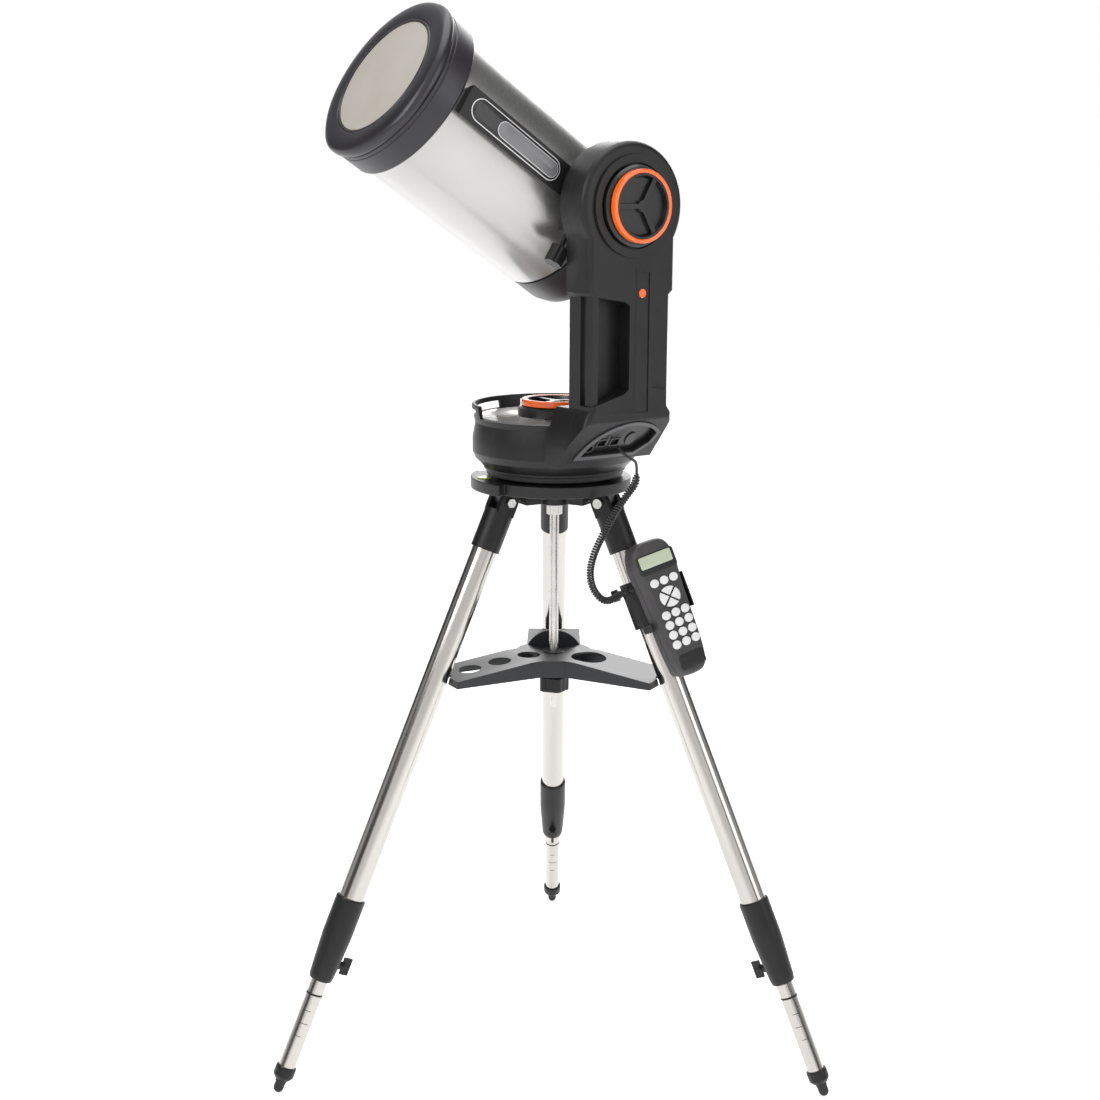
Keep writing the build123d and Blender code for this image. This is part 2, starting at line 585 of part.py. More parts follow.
def battery_pack():
    """Two rows of cells inside the base, under the deck."""
    cells = []
    for x in (-72, -54, 54, 72):
        for y in (-36, -18, 0, 18):
            cells.append(Pos(x, y, 951.5) * Cylinder(9, 42))
    return cells


def motor(shaft=26.0):
    """Gear motor with its worm, along +Z."""
    return rod(14, 0, 42) + rod(17, 42, 50) + rod(3, 50, 50 + shaft)


def azimuth_motor():
    return Pos(-30, -84, 928) * Rot(0, 90, 0) * motor(10)


def altitude_motor():
    return Pos(-40, 158, 1100) * motor(20)


# ---------------------------------------------------------------- clutch knobs
def clutch_knob(low, top):
    """Round knob along Z with a dished top and three spokes."""
    body = turned([(0, low), (CLUTCH_R, low), (CLUTCH_R, top - 4), (CLUTCH_R - 3, top - 1),
                   (RING_R - 6, top), (RING_R - 6, top + RING_H - 1), (RING_R - 9, top + RING_H - 1),
                   (RING_R - 12, top + RING_H - KNOB_DISH), (0, top + RING_H - KNOB_DISH)])
    spokes = rod(8, top, top + RING_H - 3)
    for i in range(3):
        spokes += Rot(0, 0, 120 * i + 30) * block((0, RING_R - 8), (-3.5, 3.5), (top, top + RING_H - 3))
    return body + spokes


def clutch_ring(top):
    return tube(RING_R, RING_R - 5.95, top + 0.05, top + RING_H)


def alt_place(shape):
    return along_y(Pos(0, -ALT_Z, 0) * Rot(0, 0, 90) * shape)


# ================================================================ optical tube
def at_altitude(shape):
    """Place a shape made in altitude axes: X along the tube, Y to the arm, Z up from the tube."""
    return at_mount(Pos(0, 0, ALT_Z) * Rot(0, -ALTITUDE, 0) * shape)


DOVE_A = TUBE_TOP_A - 2.0                   # dovetail bar's seat on the tube
SADDLE_A = DOVE_A + DOVETAIL_T + 0.1


def dovetail_outline(grow=0.0):
    """(z, y) section of the dovetail bar, centred on the tube."""
    w, neck = DOVETAIL_W / 2 + grow, DOVETAIL_NECK / 2 + grow
    return [(-neck, DOVE_A), (neck, DOVE_A), (neck + 1, DOVE_A + 4), (w, DOVE_A + DOVETAIL_T - 3),
            (w, DOVE_A + DOVETAIL_T + grow), (-w, DOVE_A + DOVETAIL_T + grow), (-w, DOVE_A + DOVETAIL_T - 3),
            (-neck - 1, DOVE_A + 4)]


def dovetail_solid(low, high, grow=0.0):
    face = Plane.YZ * make_face(Polyline(*[(a, TUBE_OFF_N + n) for n, a in dovetail_outline(grow)], close=True))
    return Pos(low, 0, 0) * extrude(face, high - low)


def tube_cylinder(radius, low, high):
    """Round bar on the optical axis, in altitude axes."""
    return Pos(0, TUBE_OFF_A, TUBE_OFF_N) * Rot(0, 90, 0) * rod(radius, low, high)


def dovetail_bar():
    bar = dovetail_solid(*DOVETAIL_S)
    return bar - tube_cylinder(TUBE_R + 0.05, -30, 290) - tube_cylinder(REAR_CELL_R + 1.05, -90, TUBE_S[0])


def saddle():
    plate = along_y(rod(SADDLE_R, SADDLE_A, ARM_IN - GAP))
    jaws = block((-42, 42), (DOVE_A + 3, SADDLE_A + 1), (TUBE_OFF_N - 36, TUBE_OFF_N + 34))
    hub = plate + (jaws - dovetail_solid(-60, 60, 0.05))
    hub += block((CLAMP_S - 12, CLAMP_S + 12), (CLAMP_A - 9, ARM_IN - GAP), (TUBE_OFF_N - 58, TUBE_OFF_N - 30))
    hub -= dovetail_solid(-60, 80, 0.05)
    hub -= tube_cylinder(TUBE_R + 1, -80, 120)
    hub += along_y(rod(SHAFT_D / 2, ARM_IN - 5, ALT_KNOB_A[1] - 4))
    return hub - Pos(CLAMP_S, CLAMP_A, TUBE_OFF_N) * rod(4 + FIT, -70, -30)


def altitude_gear():
    return along_y(tube(44, SHAFT_D / 2 + 0.02, 152, 162))


def clamp_knob():
    """Dovetail clamp screw under the saddle."""
    knob = rod(4, -80, -31) + rod(CLAMP_R, -104, -78)
    for i in range(6):
        knob -= Rot(0, 0, 60 * i) * Pos(CLAMP_R + 1, 0, -91) * Cylinder(3, 30)
    return Pos(CLAMP_S, CLAMP_A, TUBE_OFF_N) * knob


def tube_shell():
    return turned([(TUBE_R - TUBE_WALL, TUBE_S[0]), (TUBE_R, TUBE_S[0]), (TUBE_R, TUBE_S[1]),
                   (TUBE_R - TUBE_WALL, TUBE_S[1])])


def front_cell():
    """Moulded ring that holds the corrector plate."""
    seat = TUBE_R - TUBE_WALL
    return turned([(seat - 4, TUBE_S[1] - 14), (seat - 0.05, TUBE_S[1] - 14), (seat - 0.05, TUBE_S[1] + 0.05),
                   (CELL_R - 1.5, TUBE_S[1] + 0.05), (CELL_R, TUBE_S[1] + 3), (CELL_R, CELL_FRONT - 3),
                   (CELL_R - 2, CELL_FRONT), (APERTURE_R + 6, CELL_FRONT), (APERTURE_R + 4, CORRECTOR_S + CORRECTOR_T),
                   (CORRECTOR_R + 0.1, CORRECTOR_S + CORRECTOR_T), (CORRECTOR_R + 0.1, CORRECTOR_S),
                   (APERTURE_R, CORRECTOR_S - 0.05), (APERTURE_R, CORRECTOR_S - 6)])


def corrector_plate():
    return tube(CORRECTOR_R, SECONDARY_R - 4, CORRECTOR_S, CORRECTOR_S + CORRECTOR_T)


def secondary_cell():
    """Holder through the corrector's centre, with the secondary mirror."""
    cell = rod(SECONDARY_R, CORRECTOR_S + CORRECTOR_T, CORRECTOR_S + CORRECTOR_T + 8)
    cell += rod(SECONDARY_R - 4.05, CORRECTOR_S - 2, CORRECTOR_S + CORRECTOR_T + 1)
    return cell + rod(SECONDARY_R, CORRECTOR_S - 26, CORRECTOR_S - 0.05)


def rear_cell():
    """Casting behind the tube: groove, dome and the rear port's threaded neck."""
    seat = TUBE_R - TUBE_WALL - 0.05
    shell = turned([(0, REAR_CELL_BACK), (REAR_CELL_R - 16, REAR_CELL_BACK), (REAR_CELL_R - 5, REAR_CELL_BACK + 6),
                    (REAR_CELL_R, REAR_CELL_BACK + 22), (REAR_CELL_R, TUBE_S[0] - 5), (TUBE_R - 5, TUBE_S[0] - 4),
                    (TUBE_R - 5, TUBE_S[0] - 0.05), (seat, TUBE_S[0] - 0.05), (seat, TUBE_S[0] + 10), (0, TUBE_S[0] + 10)])
    shell -= rod(REAR_CELL_R - 9, REAR_CELL_BACK + 8, TUBE_S[0] + 11)
    shell += rod(REAR_NECK_R, REAR_CELL_BACK - 8, REAR_CELL_BACK + 9)
    shell += rod(25.0, REAR_CELL_BACK - 16, REAR_CELL_BACK - 7)
    shell -= rod(BAFFLE_R + 0.05, -200, 20)
    return shell - Pos(FOCUS_N, 0, 0) * Rot(0, 0, 0) * rod(4 + FIT, -120, -60)


def baffle_tube():
    """Central tube that carries the sliding mirror."""
    return tube(BAFFLE_R, BAFFLE_R - 2, REAR_CELL_BACK - 15, 130)


def primary_mirror():
    """Concave mirror on its sliding sleeve."""
    disc = rod(MIRROR_R, MIRROR_S, MIRROR_S + MIRROR_T)
    disc -= Pos(0, 0, MIRROR_S + MIRROR_T - 9 + 812) * Sphere(812)
    disc += rod(BAFFLE_R + 8, MIRROR_S - 8, MIRROR_S + MIRROR_T + 4)
    return disc - rod(BAFFLE_R + FIT, -200, 200)


def focus_knob():
    knob = rod(4, REAR_CELL_BACK - 6, MIRROR_S - 22) + rod(FOCUS_R, REAR_CELL_BACK - 30, REAR_CELL_BACK - 4)
    for i in range(12):
        knob -= Rot(0, 0, 30 * i) * Pos(FOCUS_R + 1, 0, REAR_CELL_BACK - 17) * Cylinder(2, 40)
    return Pos(FOCUS_N, 0, 0) * knob


def visual_back():
    """Eyepiece holder on the rear thread, with two thumbscrews."""
    back = rod(VISUAL_OD / 2, VISUAL_BACK, VISUAL_BACK + 24) + rod(31, VISUAL_BACK + 24, REAR_CELL_BACK - 8.05)
    back -= rod(25.05, REAR_CELL_BACK - 16.05, REAR_CELL_BACK)
    back -= rod(VISUAL_BORE / 2, VISUAL_BACK - 1, 0)
    for angle in (60, 180):
        screw = Rot(0, 0, angle) * Pos(VISUAL_OD / 2, 0, VISUAL_BACK + 10) * Rot(0, 90, 0)
        back += screw * (rod(2.5, -6, 8) + rod(6, 6, 16))
    return back


def lens_cap():
    """Twist-off cap: ring with a wavy edge and a recess for its disc."""
    front = CAP_FRONT
    cap = turned([(0, CELL_FRONT + 4), (CAP_DISC_R + 6, CELL_FRONT + 4), (APERTURE_R + 3, CELL_FRONT + 0.6),
                  (CAP_R, CELL_FRONT + 0.6), (CAP_R, front - 5), (CAP_R - 4, front - 1), (CAP_R - 14, front),
                  (CAP_DISC_R + 1, front), (CAP_DISC_R + 0.1, front - CAP_DISC_DEPTH), (0, front - CAP_DISC_DEPTH)])
    for i in range(CAP_LOBES):
        lobe = tube(CAP_LOBE_R, CAP_R - 3, CELL_FRONT + 1, front - 6)
        cap += lobe & sector(200, 90 * i + 20, 90 * i + 50, CELL_FRONT, front)
    return cap


def cap_disc():
    return rod(CAP_DISC_R, CAP_FRONT - CAP_DISC_DEPTH + 0.05, CAP_FRONT - 1)


# ================================================================ hand control
def at_hand(shape):
    """Place a shape made in hand-control axes: X out of the leg, Y across, Z up the leg."""
    return at_leg(HC_LEG, Rot(0, 0, -HC_TURN) * shape)


FACE_COLUMNS = (-COLUMN_STEP, 0.0, COLUMN_STEP)


def hand_outline(grow=0.0):
    """(y, z) outline of the hand control: wide rounded head, waist, narrower foot."""
    top, waist, foot = HC_HALF_TOP + grow, HC_HALF_WAIST + grow, HC_HALF_BOTTOM + grow
    z0, z1 = HC_TOP + grow, HC_BOTTOM - grow
    head = ThreePointArc((-top, z0 - 24), (0, z0), (top, z0 - 24))
    side = Polyline((top, z0 - 24), (top - 1, z0 - 40), (waist, z0 - 74), (foot + 1, z1 + 6))
    base = ThreePointArc((foot + 1, z1 + 6), (0, z1), (-foot - 1, z1 + 6))
    back = Polyline((-foot - 1, z1 + 6), (-waist, z0 - 74), (-top + 1, z0 - 40), (-top, z0 - 24))
    return make_face(head + side + base + back)


def hand_slab(x_low, x_high, grow=0.0):
    face = Plane.YZ * hand_outline(grow)
    return Pos(x_low, HC_Y, 0) * extrude(face, x_high - x_low)


def key_plug(y, z, half, x_low, x_high):
    """Oval key shape, from x_low to x_high."""
    oval = Ellipse(half[0], half[1])
    return Pos(x_low, HC_Y + y, z) * (Rot(0, 90, 0) * Rot(0, 0, 90) * extrude(oval, x_high - x_low))


def key_places():
    """Keys of the hand control as (name, list of (y, z), half sizes)."""
    groups = [("top_keys", [(y, KEY_Z[0]) for y in FACE_COLUMNS], KEY_HALF)]
    for row in range(4):
        z = KEY_Z[2] - ROW_STEP * row
        groups.append((f"number_keys_{row + 1}", [(y, z) for y in FACE_COLUMNS], KEY_HALF))
    return groups


def key_well(y, z, half):
    wide = (half[0] + KEY_GAP, half[1] + KEY_GAP)
    return key_plug(y, z, wide, HC_FACE - KEY_STEM - 2.5, HC_FACE + 1)


def arrow_pad(half, x_low, x_high):
    return key_plug(0, KEY_Z[1], half, x_low, x_high)


def hc_case():
    case = hand_slab(HC_BACK, HC_FACE)
    case -= hand_slab(HC_BACK + 3, HC_FACE - KEY_STEM - 2.5, -3)
    case -= block((HC_FACE - 1.5, HC_FACE + 1), (HC_Y - 39, HC_Y + 39), (HC_TOP - 45, HC_TOP - 15))
    for _, places, half in key_places():
        for y, z in places:
            case -= key_well(y, z, half)
    return case - arrow_pad((PAD_HALF[0] + KEY_GAP, PAD_HALF[1] + KEY_GAP), HC_FACE - KEY_STEM - 2.5, HC_FACE + 1)


def hc_display():
    """Window frame with the display glass."""
    return block((HC_FACE - 1.45, HC_FACE + 0.4), (HC_Y - 38.9, HC_Y + 38.9), (HC_TOP - 44.9, HC_TOP - 15.1))


def key_group(places, half):
    return [key_plug(y, z, half, HC_FACE - KEY_STEM, HC_FACE + KEY_RISE) for y, z in places]


def arrow_keys():
    """Four arrow keys: an oval cut crosswise on the slant."""
    pad = arrow_pad(PAD_HALF, HC_FACE - KEY_STEM, HC_FACE + KEY_RISE)
    for turn in (35, -55):
        cut = Box(40, 1.0, 60)
        pad -= Pos(HC_FACE, HC_Y, KEY_Z[1]) * Rot(turn, 0, 0) * cut
    return pad


def hc_holder():
    """Clamp round the leg, cradle plate and two side tabs."""
    z0, z1 = CLAMP_Z
    band = tube(UPPER_OD / 2 + 6, UPPER_OD / 2 + 0.02, z0, z1)
    neck = block((UPPER_OD / 2 + 3, HC_BACK - 3.5), (-14, 14), (z0 + 4, z1 - 4))
    plate = block((HC_BACK - 4, HC_BACK - 0.4), (HC_Y - 20, HC_Y + 43), (z0 - 8, z1 - 10))
    shelf_gap = HC_HALF_TOP + 1.0
    tab = block((HC_BACK - 4, HC_FACE - 6), (HC_Y + shelf_gap, HC_Y + shelf_gap + 3), (z0 + 6, z1 - 10))
    link = block((HC_BACK - 4, HC_BACK - 0.4), (HC_Y + 30, HC_Y + shelf_gap + 3), (z0 + 6, z1 - 10))
    hook = block((HC_BACK - 4, HC_FACE - 12), (HC_Y - 44.5, HC_Y - 42), (z0 - 8, z0 + 4))
    screw = Rot(0, 0, -50) * Pos(0, -UPPER_OD / 2 - 5, z1 - 12) * Rot(90, 0, 0) * (rod(4, 0, 10) + rod(9, 6, 16))
    arm = block((HC_BACK - 4, HC_BACK - 0.4), (HC_Y - 44.5, HC_Y - 19), (z0 - 8, z0 + 4))
    holder = band + neck + plate + tab + link + hook + arm + screw
    return holder - rod(UPPER_OD / 2 + 0.02, z0 - 20, z1 + 20)


# ================================================================ cord
PLUG_Y = -32.0
PLUG_Z = -136.0
LEAD_ROUTE = [(89.28, -126.61, 956.87), (96.2, -136.1, 947.6), (110.0, -137.0, 939.0),
              (118.0, -124.0, 933.0), (118.0, -124.0, 918.0)]
COIL_ROUTE = [(118.0, -124.0, 918.0), (118.0, -124.0, 903.0), (106.0, -124.0, 887.0), (88.0, -126.0, 861.0),
              (72.0, -126.0, 830.0), (58.0, -125.0, 800.0), (51.0, -124.0, 770.0), (57.0, -122.0, 742.0),
              (76.0, -119.0, 722.0), (101.76, -94.27, 733.17), (114.14, -107.75, 740.95)]


def fillet_radii(points):
    """Arc radius at each inner point: 0.45 of the shorter run over the tangent of half the turn."""
    radii = []
    for a, b, c in zip(points, points[1:], points[2:]):
        first, second = Vector(*b) - Vector(*a), Vector(*c) - Vector(*b)
        half_turn = math.radians(first.get_angle(second)) / 2
        radii.append(0.45 * min(first.length, second.length) / math.tan(half_turn))
    return radii


def cord_tube(points, diameter, name):
    radii = fillet_radii(points)
    path = FilletPolyline(*points, radius=radii)
    start = Plane(origin=path @ 0, z_dir=path % 0)
    cord = sweep(start * Circle(diameter / 2), path=path)
    ideal = math.pi * diameter ** 2 / 4 * path.length
    print(name, "radii", [round(r) for r in radii], "length", round(path.length),
          "volume ratio", round(cord.volume / ideal, 4))
    return cord


def cord_plug():
    """Moulded plug in the back of the hand control."""
    plug = rod(5.5, 0, 9) + rod(4, 8.9, 15)
    return Pos(HC_BACK - 15.05, PLUG_Y, PLUG_Z) * Rot(0, 90, 0) * plug


def lead_plug():
    """Plug on the lead's end, in the second socket."""
    x, y = socket_spots()[1]
    body = block((-SOCKET[0] / 2 + FIT, SOCKET[0] / 2 - FIT), (-SOCKET[1] / 2 + FIT, SOCKET[1] / 2 - FIT), (-7, 3))
    return slant_frame() * Pos(x, y, 0) * body


# ================================================================ assembly
def build():
    nodes = {
        "tripod_head": tripod_head(),
        "bubble_level": bubble_level(),
        "pivot_bolts": pivot_bolts(),
        "centre_rod": centre_rod(),
        "accessory_tray": accessory_tray(),
        "tray_knob": tray_knob(),
        "mount_foot": mount_foot(),
        "azimuth_gear": azimuth_gear(),
    }
    for i, angle in enumerate(LEG_ANGLES, 1):
        nodes[f"leg_tube_{i}"] = leg_tube(angle)
        nodes[f"leg_fittings_{i}"] = leg_fittings(angle)
        nodes[f"leg_lower_{i}"] = leg_lower(angle)
        nodes[f"lock_knob_{i}"] = lock_knob(angle)

    az_bore = rod(SPINDLE_D / 2 + FIT, 900, AZ_KNOB_Z[1] - 11.7)
    mount = {
        "base_housing": base_housing(),
        "base_deck": base_deck(),
        "arm_inner_shell": arm_inner_shell(),
        "arm_outer_shell": arm_outer_shell(),
        "port_trim": port_trim(),
        "port_panel": port_panel(),
        "battery_pack": battery_pack(),
        "azimuth_motor": azimuth_motor(),
        "altitude_motor": altitude_motor(),
        "az_knob": clutch_knob(*AZ_KNOB_Z) - az_bore,
        "az_ring": clutch_ring(AZ_KNOB_Z[1]),
        "alt_knob": alt_place(clutch_knob(*ALT_KNOB_A) - rod(SHAFT_D / 2 + FIT, 150, ALT_KNOB_A[1] - 3.7)),
        "alt_ring": alt_place(clutch_ring(ALT_KNOB_A[1])),
    }
    for name, shape in mount.items():
        nodes[name] = at_mount_all(shape)

    altitude = {
        "saddle_hub": saddle(),
        "altitude_gear": altitude_gear(),
        "dovetail_bar": dovetail_bar(),
        "clamp_knob": clamp_knob(),
    }
    optics = {
        "tube_shell": tube_shell(),
        "front_cell": front_cell(),
        "corrector_plate": corrector_plate(),
        "secondary_cell": secondary_cell(),
        "rear_cell": rear_cell(),
        "baffle_tube": baffle_tube(),
        "primary_mirror": primary_mirror(),
        "focus_knob": focus_knob(),
        "visual_back": visual_back(),
        "lens_cap": lens_cap(),
        "cap_disc": cap_disc(),
    }
    for name, shape in altitude.items():
        nodes[name] = at_altitude(shape)
    for name, shape in optics.items():
        nodes[name] = at_altitude(Pos(0, TUBE_OFF_A, TUBE_OFF_N) * Rot(0, 90, 0) * shape)

    hand = {"hc_holder": hc_holder(), "hc_case": hc_case(), "hc_display": hc_display(),
            "arrow_keys": arrow_keys(), "cord_plug": cord_plug()}
    for name, places, half in key_places():
        hand[name] = key_group(places, half)
    for name, shape in hand.items():
        nodes[name] = place_all(at_hand, shape)

    nodes["cord_lead"] = cord_tube(LEAD_ROUTE, LEAD_D, "lead") + at_mount(lead_plug())
    nodes["cord_coil"] = cord_tube(COIL_ROUTE, COIL_D, "coil")
    return nodes


def place_all(place, shape):
    if isinstance(shape, list):
        return [place(s) for s in shape]
    return place(shape)


def at_mount_all(shape):
    return place_all(at_mount, shape)


def as_solids(shape):
    """One compound of separate solids from a shape or a list of shapes."""
    items = shape if isinstance(shape, list) else [shape]
    solids = [solid for item in items for solid in item.solids()]
    return solids[0] if len(solids) == 1 else Compound(children=solids)


def main():
    os.makedirs("parts", exist_ok=True)
    for name, shape in build().items():
        export_step(as_solids(shape), f"parts/{name}.step")


main()
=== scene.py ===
import math

import bmesh
import bpy
import numpy as np
from mathutils import Matrix


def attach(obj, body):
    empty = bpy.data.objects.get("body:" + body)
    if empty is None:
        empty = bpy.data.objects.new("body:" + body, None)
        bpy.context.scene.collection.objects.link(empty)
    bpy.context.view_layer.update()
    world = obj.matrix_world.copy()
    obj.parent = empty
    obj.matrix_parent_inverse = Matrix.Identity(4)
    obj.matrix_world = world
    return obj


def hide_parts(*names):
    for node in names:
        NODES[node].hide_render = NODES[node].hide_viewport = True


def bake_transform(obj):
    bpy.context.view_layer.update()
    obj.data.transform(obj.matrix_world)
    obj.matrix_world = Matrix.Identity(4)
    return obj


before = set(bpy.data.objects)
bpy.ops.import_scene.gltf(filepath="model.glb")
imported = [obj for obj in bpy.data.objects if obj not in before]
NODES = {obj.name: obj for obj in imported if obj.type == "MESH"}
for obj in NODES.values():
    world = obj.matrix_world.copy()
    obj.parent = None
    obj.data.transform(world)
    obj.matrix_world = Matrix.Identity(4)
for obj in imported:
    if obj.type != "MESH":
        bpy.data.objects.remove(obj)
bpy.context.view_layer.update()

# Schmidt-Cassegrain telescope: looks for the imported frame.  Metres, +Z up,
# the azimuth axis through the origin, the front of the object towards -Y.

# ------------------------------------------------------------------ axes
TURN = math.radians(36.3)
TILT = math.radians(32.8)
ALT_Z = 1.294
TUBE_A = -0.008                     # tube axis, off the azimuth axis along SIDE
TUBE_N = -0.011                     # tube axis, off the altitude axis along OVER
TUBE_R = 0.114
TUBE_BORE = 0.1125
TUBE_BACK = -0.012
TUBE_FRONT = 0.277
SADDLE_SEAT = 0.013                 # dovetail face, out from the tube
ARM_FACE = 0.1806
DOT_BACK = 0.018                    # orange dot, behind the arm's middle
DOT_Z = 1.174
ROUND = 192                         # steps round the large rings
AHEAD = np.array([-math.cos(TURN), -math.sin(TURN), 0.0])
SIDE = np.array([math.sin(TURN), -math.cos(TURN), 0.0])
UP = np.array([0.0, 0.0, 1.0])
OPTIC = math.cos(TILT) * AHEAD + math.sin(TILT) * UP
OVER = -math.sin(TILT) * AHEAD + math.cos(TILT) * UP
LEAN = math.radians(24.0)
LEG_ANGLES = {1: 210.0, 2: 330.0, 3: 90.0}
PIVOT_R = 0.088
PIVOT_Z = 0.861
LEG_LENGTH = PIVOT_Z / math.cos(LEAN)
HAND_TURN = math.radians(-16.0)
HAND_Y = -0.005


def frame_of(origin, x, y, z):
    """Map from local (x, y, z) arrays to the row frame: origin + x*X + y*Y + z*Z."""
    rows = np.array([x, y, z], float)
    start = np.array(origin, float)
    return lambda p: start + np.asarray(p, float) @ rows


TUBE = frame_of(TUBE_A * SIDE + TUBE_N * OVER + ALT_Z * UP, OVER, SIDE, OPTIC)   # z along the optical axis


def leg_axes(number, turn=0.0):
    """Axes of a leg: X outwards, Y across, Z up the leg, turned about the leg."""
    angle = math.radians(LEG_ANGLES[number])
    out = np.array([math.cos(angle), math.sin(angle), 0.0])
    x = math.cos(LEAN) * out + math.sin(LEAN) * UP
    z = -math.sin(LEAN) * out + math.cos(LEAN) * UP
    y = np.array([-math.sin(angle), math.cos(angle), 0.0])
    return (PIVOT_R * out + PIVOT_Z * UP, math.cos(turn) * x + math.sin(turn) * y,
            -math.sin(turn) * x + math.cos(turn) * y, z)


LEGS = {i: frame_of(*leg_axes(i)) for i in LEG_ANGLES}
HAND = frame_of(*leg_axes(2, HAND_TURN))


# ------------------------------------------------------------------ camera
def set_camera():
    """Camera with its axes worked out from yaw, pitch and roll."""
    yaw, pitch, roll = math.radians(-0.13), math.radians(12.0), math.radians(0.317)
    ahead = np.array([math.sin(yaw) * math.cos(pitch), math.cos(yaw) * math.cos(pitch), -math.sin(pitch)])
    right = np.cross(ahead, UP)
    right /= np.linalg.norm(right)
    top = np.cross(right, ahead)
    right, top = math.cos(roll) * right + math.sin(roll) * top, math.cos(roll) * top - math.sin(roll) * right
    data = bpy.data.cameras.new("camera")
    data.sensor_width = 36.0
    data.lens = 55.78
    data.clip_start = 0.05
    camera = bpy.data.objects.new("camera", data)
    bpy.context.scene.collection.objects.link(camera)
    rows = np.eye(4)
    rows[:3, 0], rows[:3, 1], rows[:3, 2] = right, top, -ahead
    rows[:3, 3] = (-0.0007, -2.5469, 1.3181)
    camera.matrix_world = Matrix(rows.tolist())
    bpy.context.scene.camera = camera


set_camera()


# ------------------------------------------------------------------ meshes
def add_mesh(name, vertices, faces, smooth=True):
    mesh = bpy.data.meshes.new(name)
    mesh.from_pydata(np.asarray(vertices).tolist(), [], [tuple(f) for f in faces])
    mesh.update()
    if smooth:
        mesh.polygons.foreach_set("use_smooth", np.ones(len(mesh.polygons), bool))
    piece = bpy.data.objects.new(name, mesh)
    bpy.context.scene.collection.objects.link(piece)
    return piece


def grid_faces(rows, columns, wrap_rows, wrap_columns):
    """Quads between neighbouring points of a rows x columns grid."""
    i = np.arange(rows if wrap_rows else rows - 1)
    j = np.arange(columns if wrap_columns else columns - 1)
    ii, jj = np.meshgrid(i, j, indexing="ij")
    i2, j2 = (ii + 1) % rows, (jj + 1) % columns
    quads = np.stack([ii * columns + jj, ii * columns + j2, i2 * columns + j2, i2 * columns + jj], -1)
    return quads.reshape(-1, 4)


def sharpen(piece, degrees=32.0):
    """Faces smooth, edges sharp where two faces meet at more than the angle."""
    mesh = bmesh.new()
    mesh.from_mesh(piece.data)
    bmesh.ops.remove_doubles(mesh, verts=mesh.verts, dist=1e-6)
    bmesh.ops.recalc_face_normals(mesh, faces=mesh.faces)
    limit = math.radians(degrees)
    for edge in mesh.edges:
        edge.smooth = edge.calc_face_angle(0.0) < limit
    mesh.to_mesh(piece.data)
    mesh.free()
    return piece


def lathe(name, place, profile, turns=128, close=True, wave=None):
    """Surface of revolution: point (r cos t, r sin t, h) for each profile point (r, h) and angle t.

    wave(t, h) adds to the radius.  With close, the profile is a loop."""
    r = np.array([p[0] for p in profile])[:, None]
    h = np.array([p[1] for p in profile])[:, None]
    t = np.linspace(0, 2 * math.pi, turns, endpoint=False)[None, :]
    radius = r + (wave(t, h) * (r > 1e-6) if wave else 0 * t)
    points = np.stack([radius * np.cos(t), radius * np.sin(t), h + 0 * t], -1).reshape(-1, 3)
    return sharpen(add_mesh(name, place(points), grid_faces(len(profile), turns, close, True)))


def rounded(corners, radius, steps=5):
    """Polyline with each corner replaced by an arc-like quadratic curve, cut back by the radius."""
    out = []
    pts = [np.array(c[:2], float) for c in corners]
    for i, p in enumerate(pts):
        r = corners[i][2] if len(corners[i]) > 2 else radius
        before, after = pts[i - 1] - p, pts[(i + 1) % len(pts)] - p
        lb, la = np.linalg.norm(before), np.linalg.norm(after)
        if r <= 0 or min(lb, la) < 1e-7:
            out.append(tuple(p))
            continue
        a = p + before / lb * min(r, lb * 0.45)
        b = p + after / la * min(r, la * 0.45)
        for k in np.linspace(0, 1, steps):
            out.append(tuple((1 - k) ** 2 * a + 2 * k * (1 - k) * p + k * k * b))
    return out


def cad_shell(node, name, width=0.0008, keep=None, angle=30.0, segments=2):
    """A merged copy of a node's mesh with its edges rounded by a bevel of the width."""
    source = NODES[node].data
    mesh = bmesh.new()
    mesh.from_mesh(source)
    bmesh.ops.remove_doubles(mesh, verts=mesh.verts, dist=2e-5)
    if keep:
        gone = [v for v in mesh.verts if not keep(np.array(v.co))]
        bmesh.ops.delete(mesh, geom=gone, context="VERTS")
    bmesh.ops.dissolve_degenerate(mesh, dist=1e-5, edges=mesh.edges)
    bmesh.ops.dissolve_limit(mesh, angle_limit=math.radians(1.2), verts=mesh.verts, edges=mesh.edges)
    limit = math.radians(angle)
    for face in mesh.faces:
        face.smooth = True
    for edge in mesh.edges:
        edge.smooth = edge.calc_face_angle(0.0) < limit
    data = bpy.data.meshes.new(name)
    mesh.to_mesh(data)
    mesh.free()
    piece = bpy.data.objects.new(name, data)
    bpy.context.scene.collection.objects.link(piece)
    if width > 0:
        bevel = piece.modifiers.new("edges", "BEVEL")
        bevel.width = width
        bevel.segments = segments
        bevel.limit_method = "ANGLE"
        bevel.angle_limit = limit
        bevel.use_clamp_overlap = True
        bevel.harden_normals = True
        bevel.miter_outer = "MITER_ARC"
    return piece


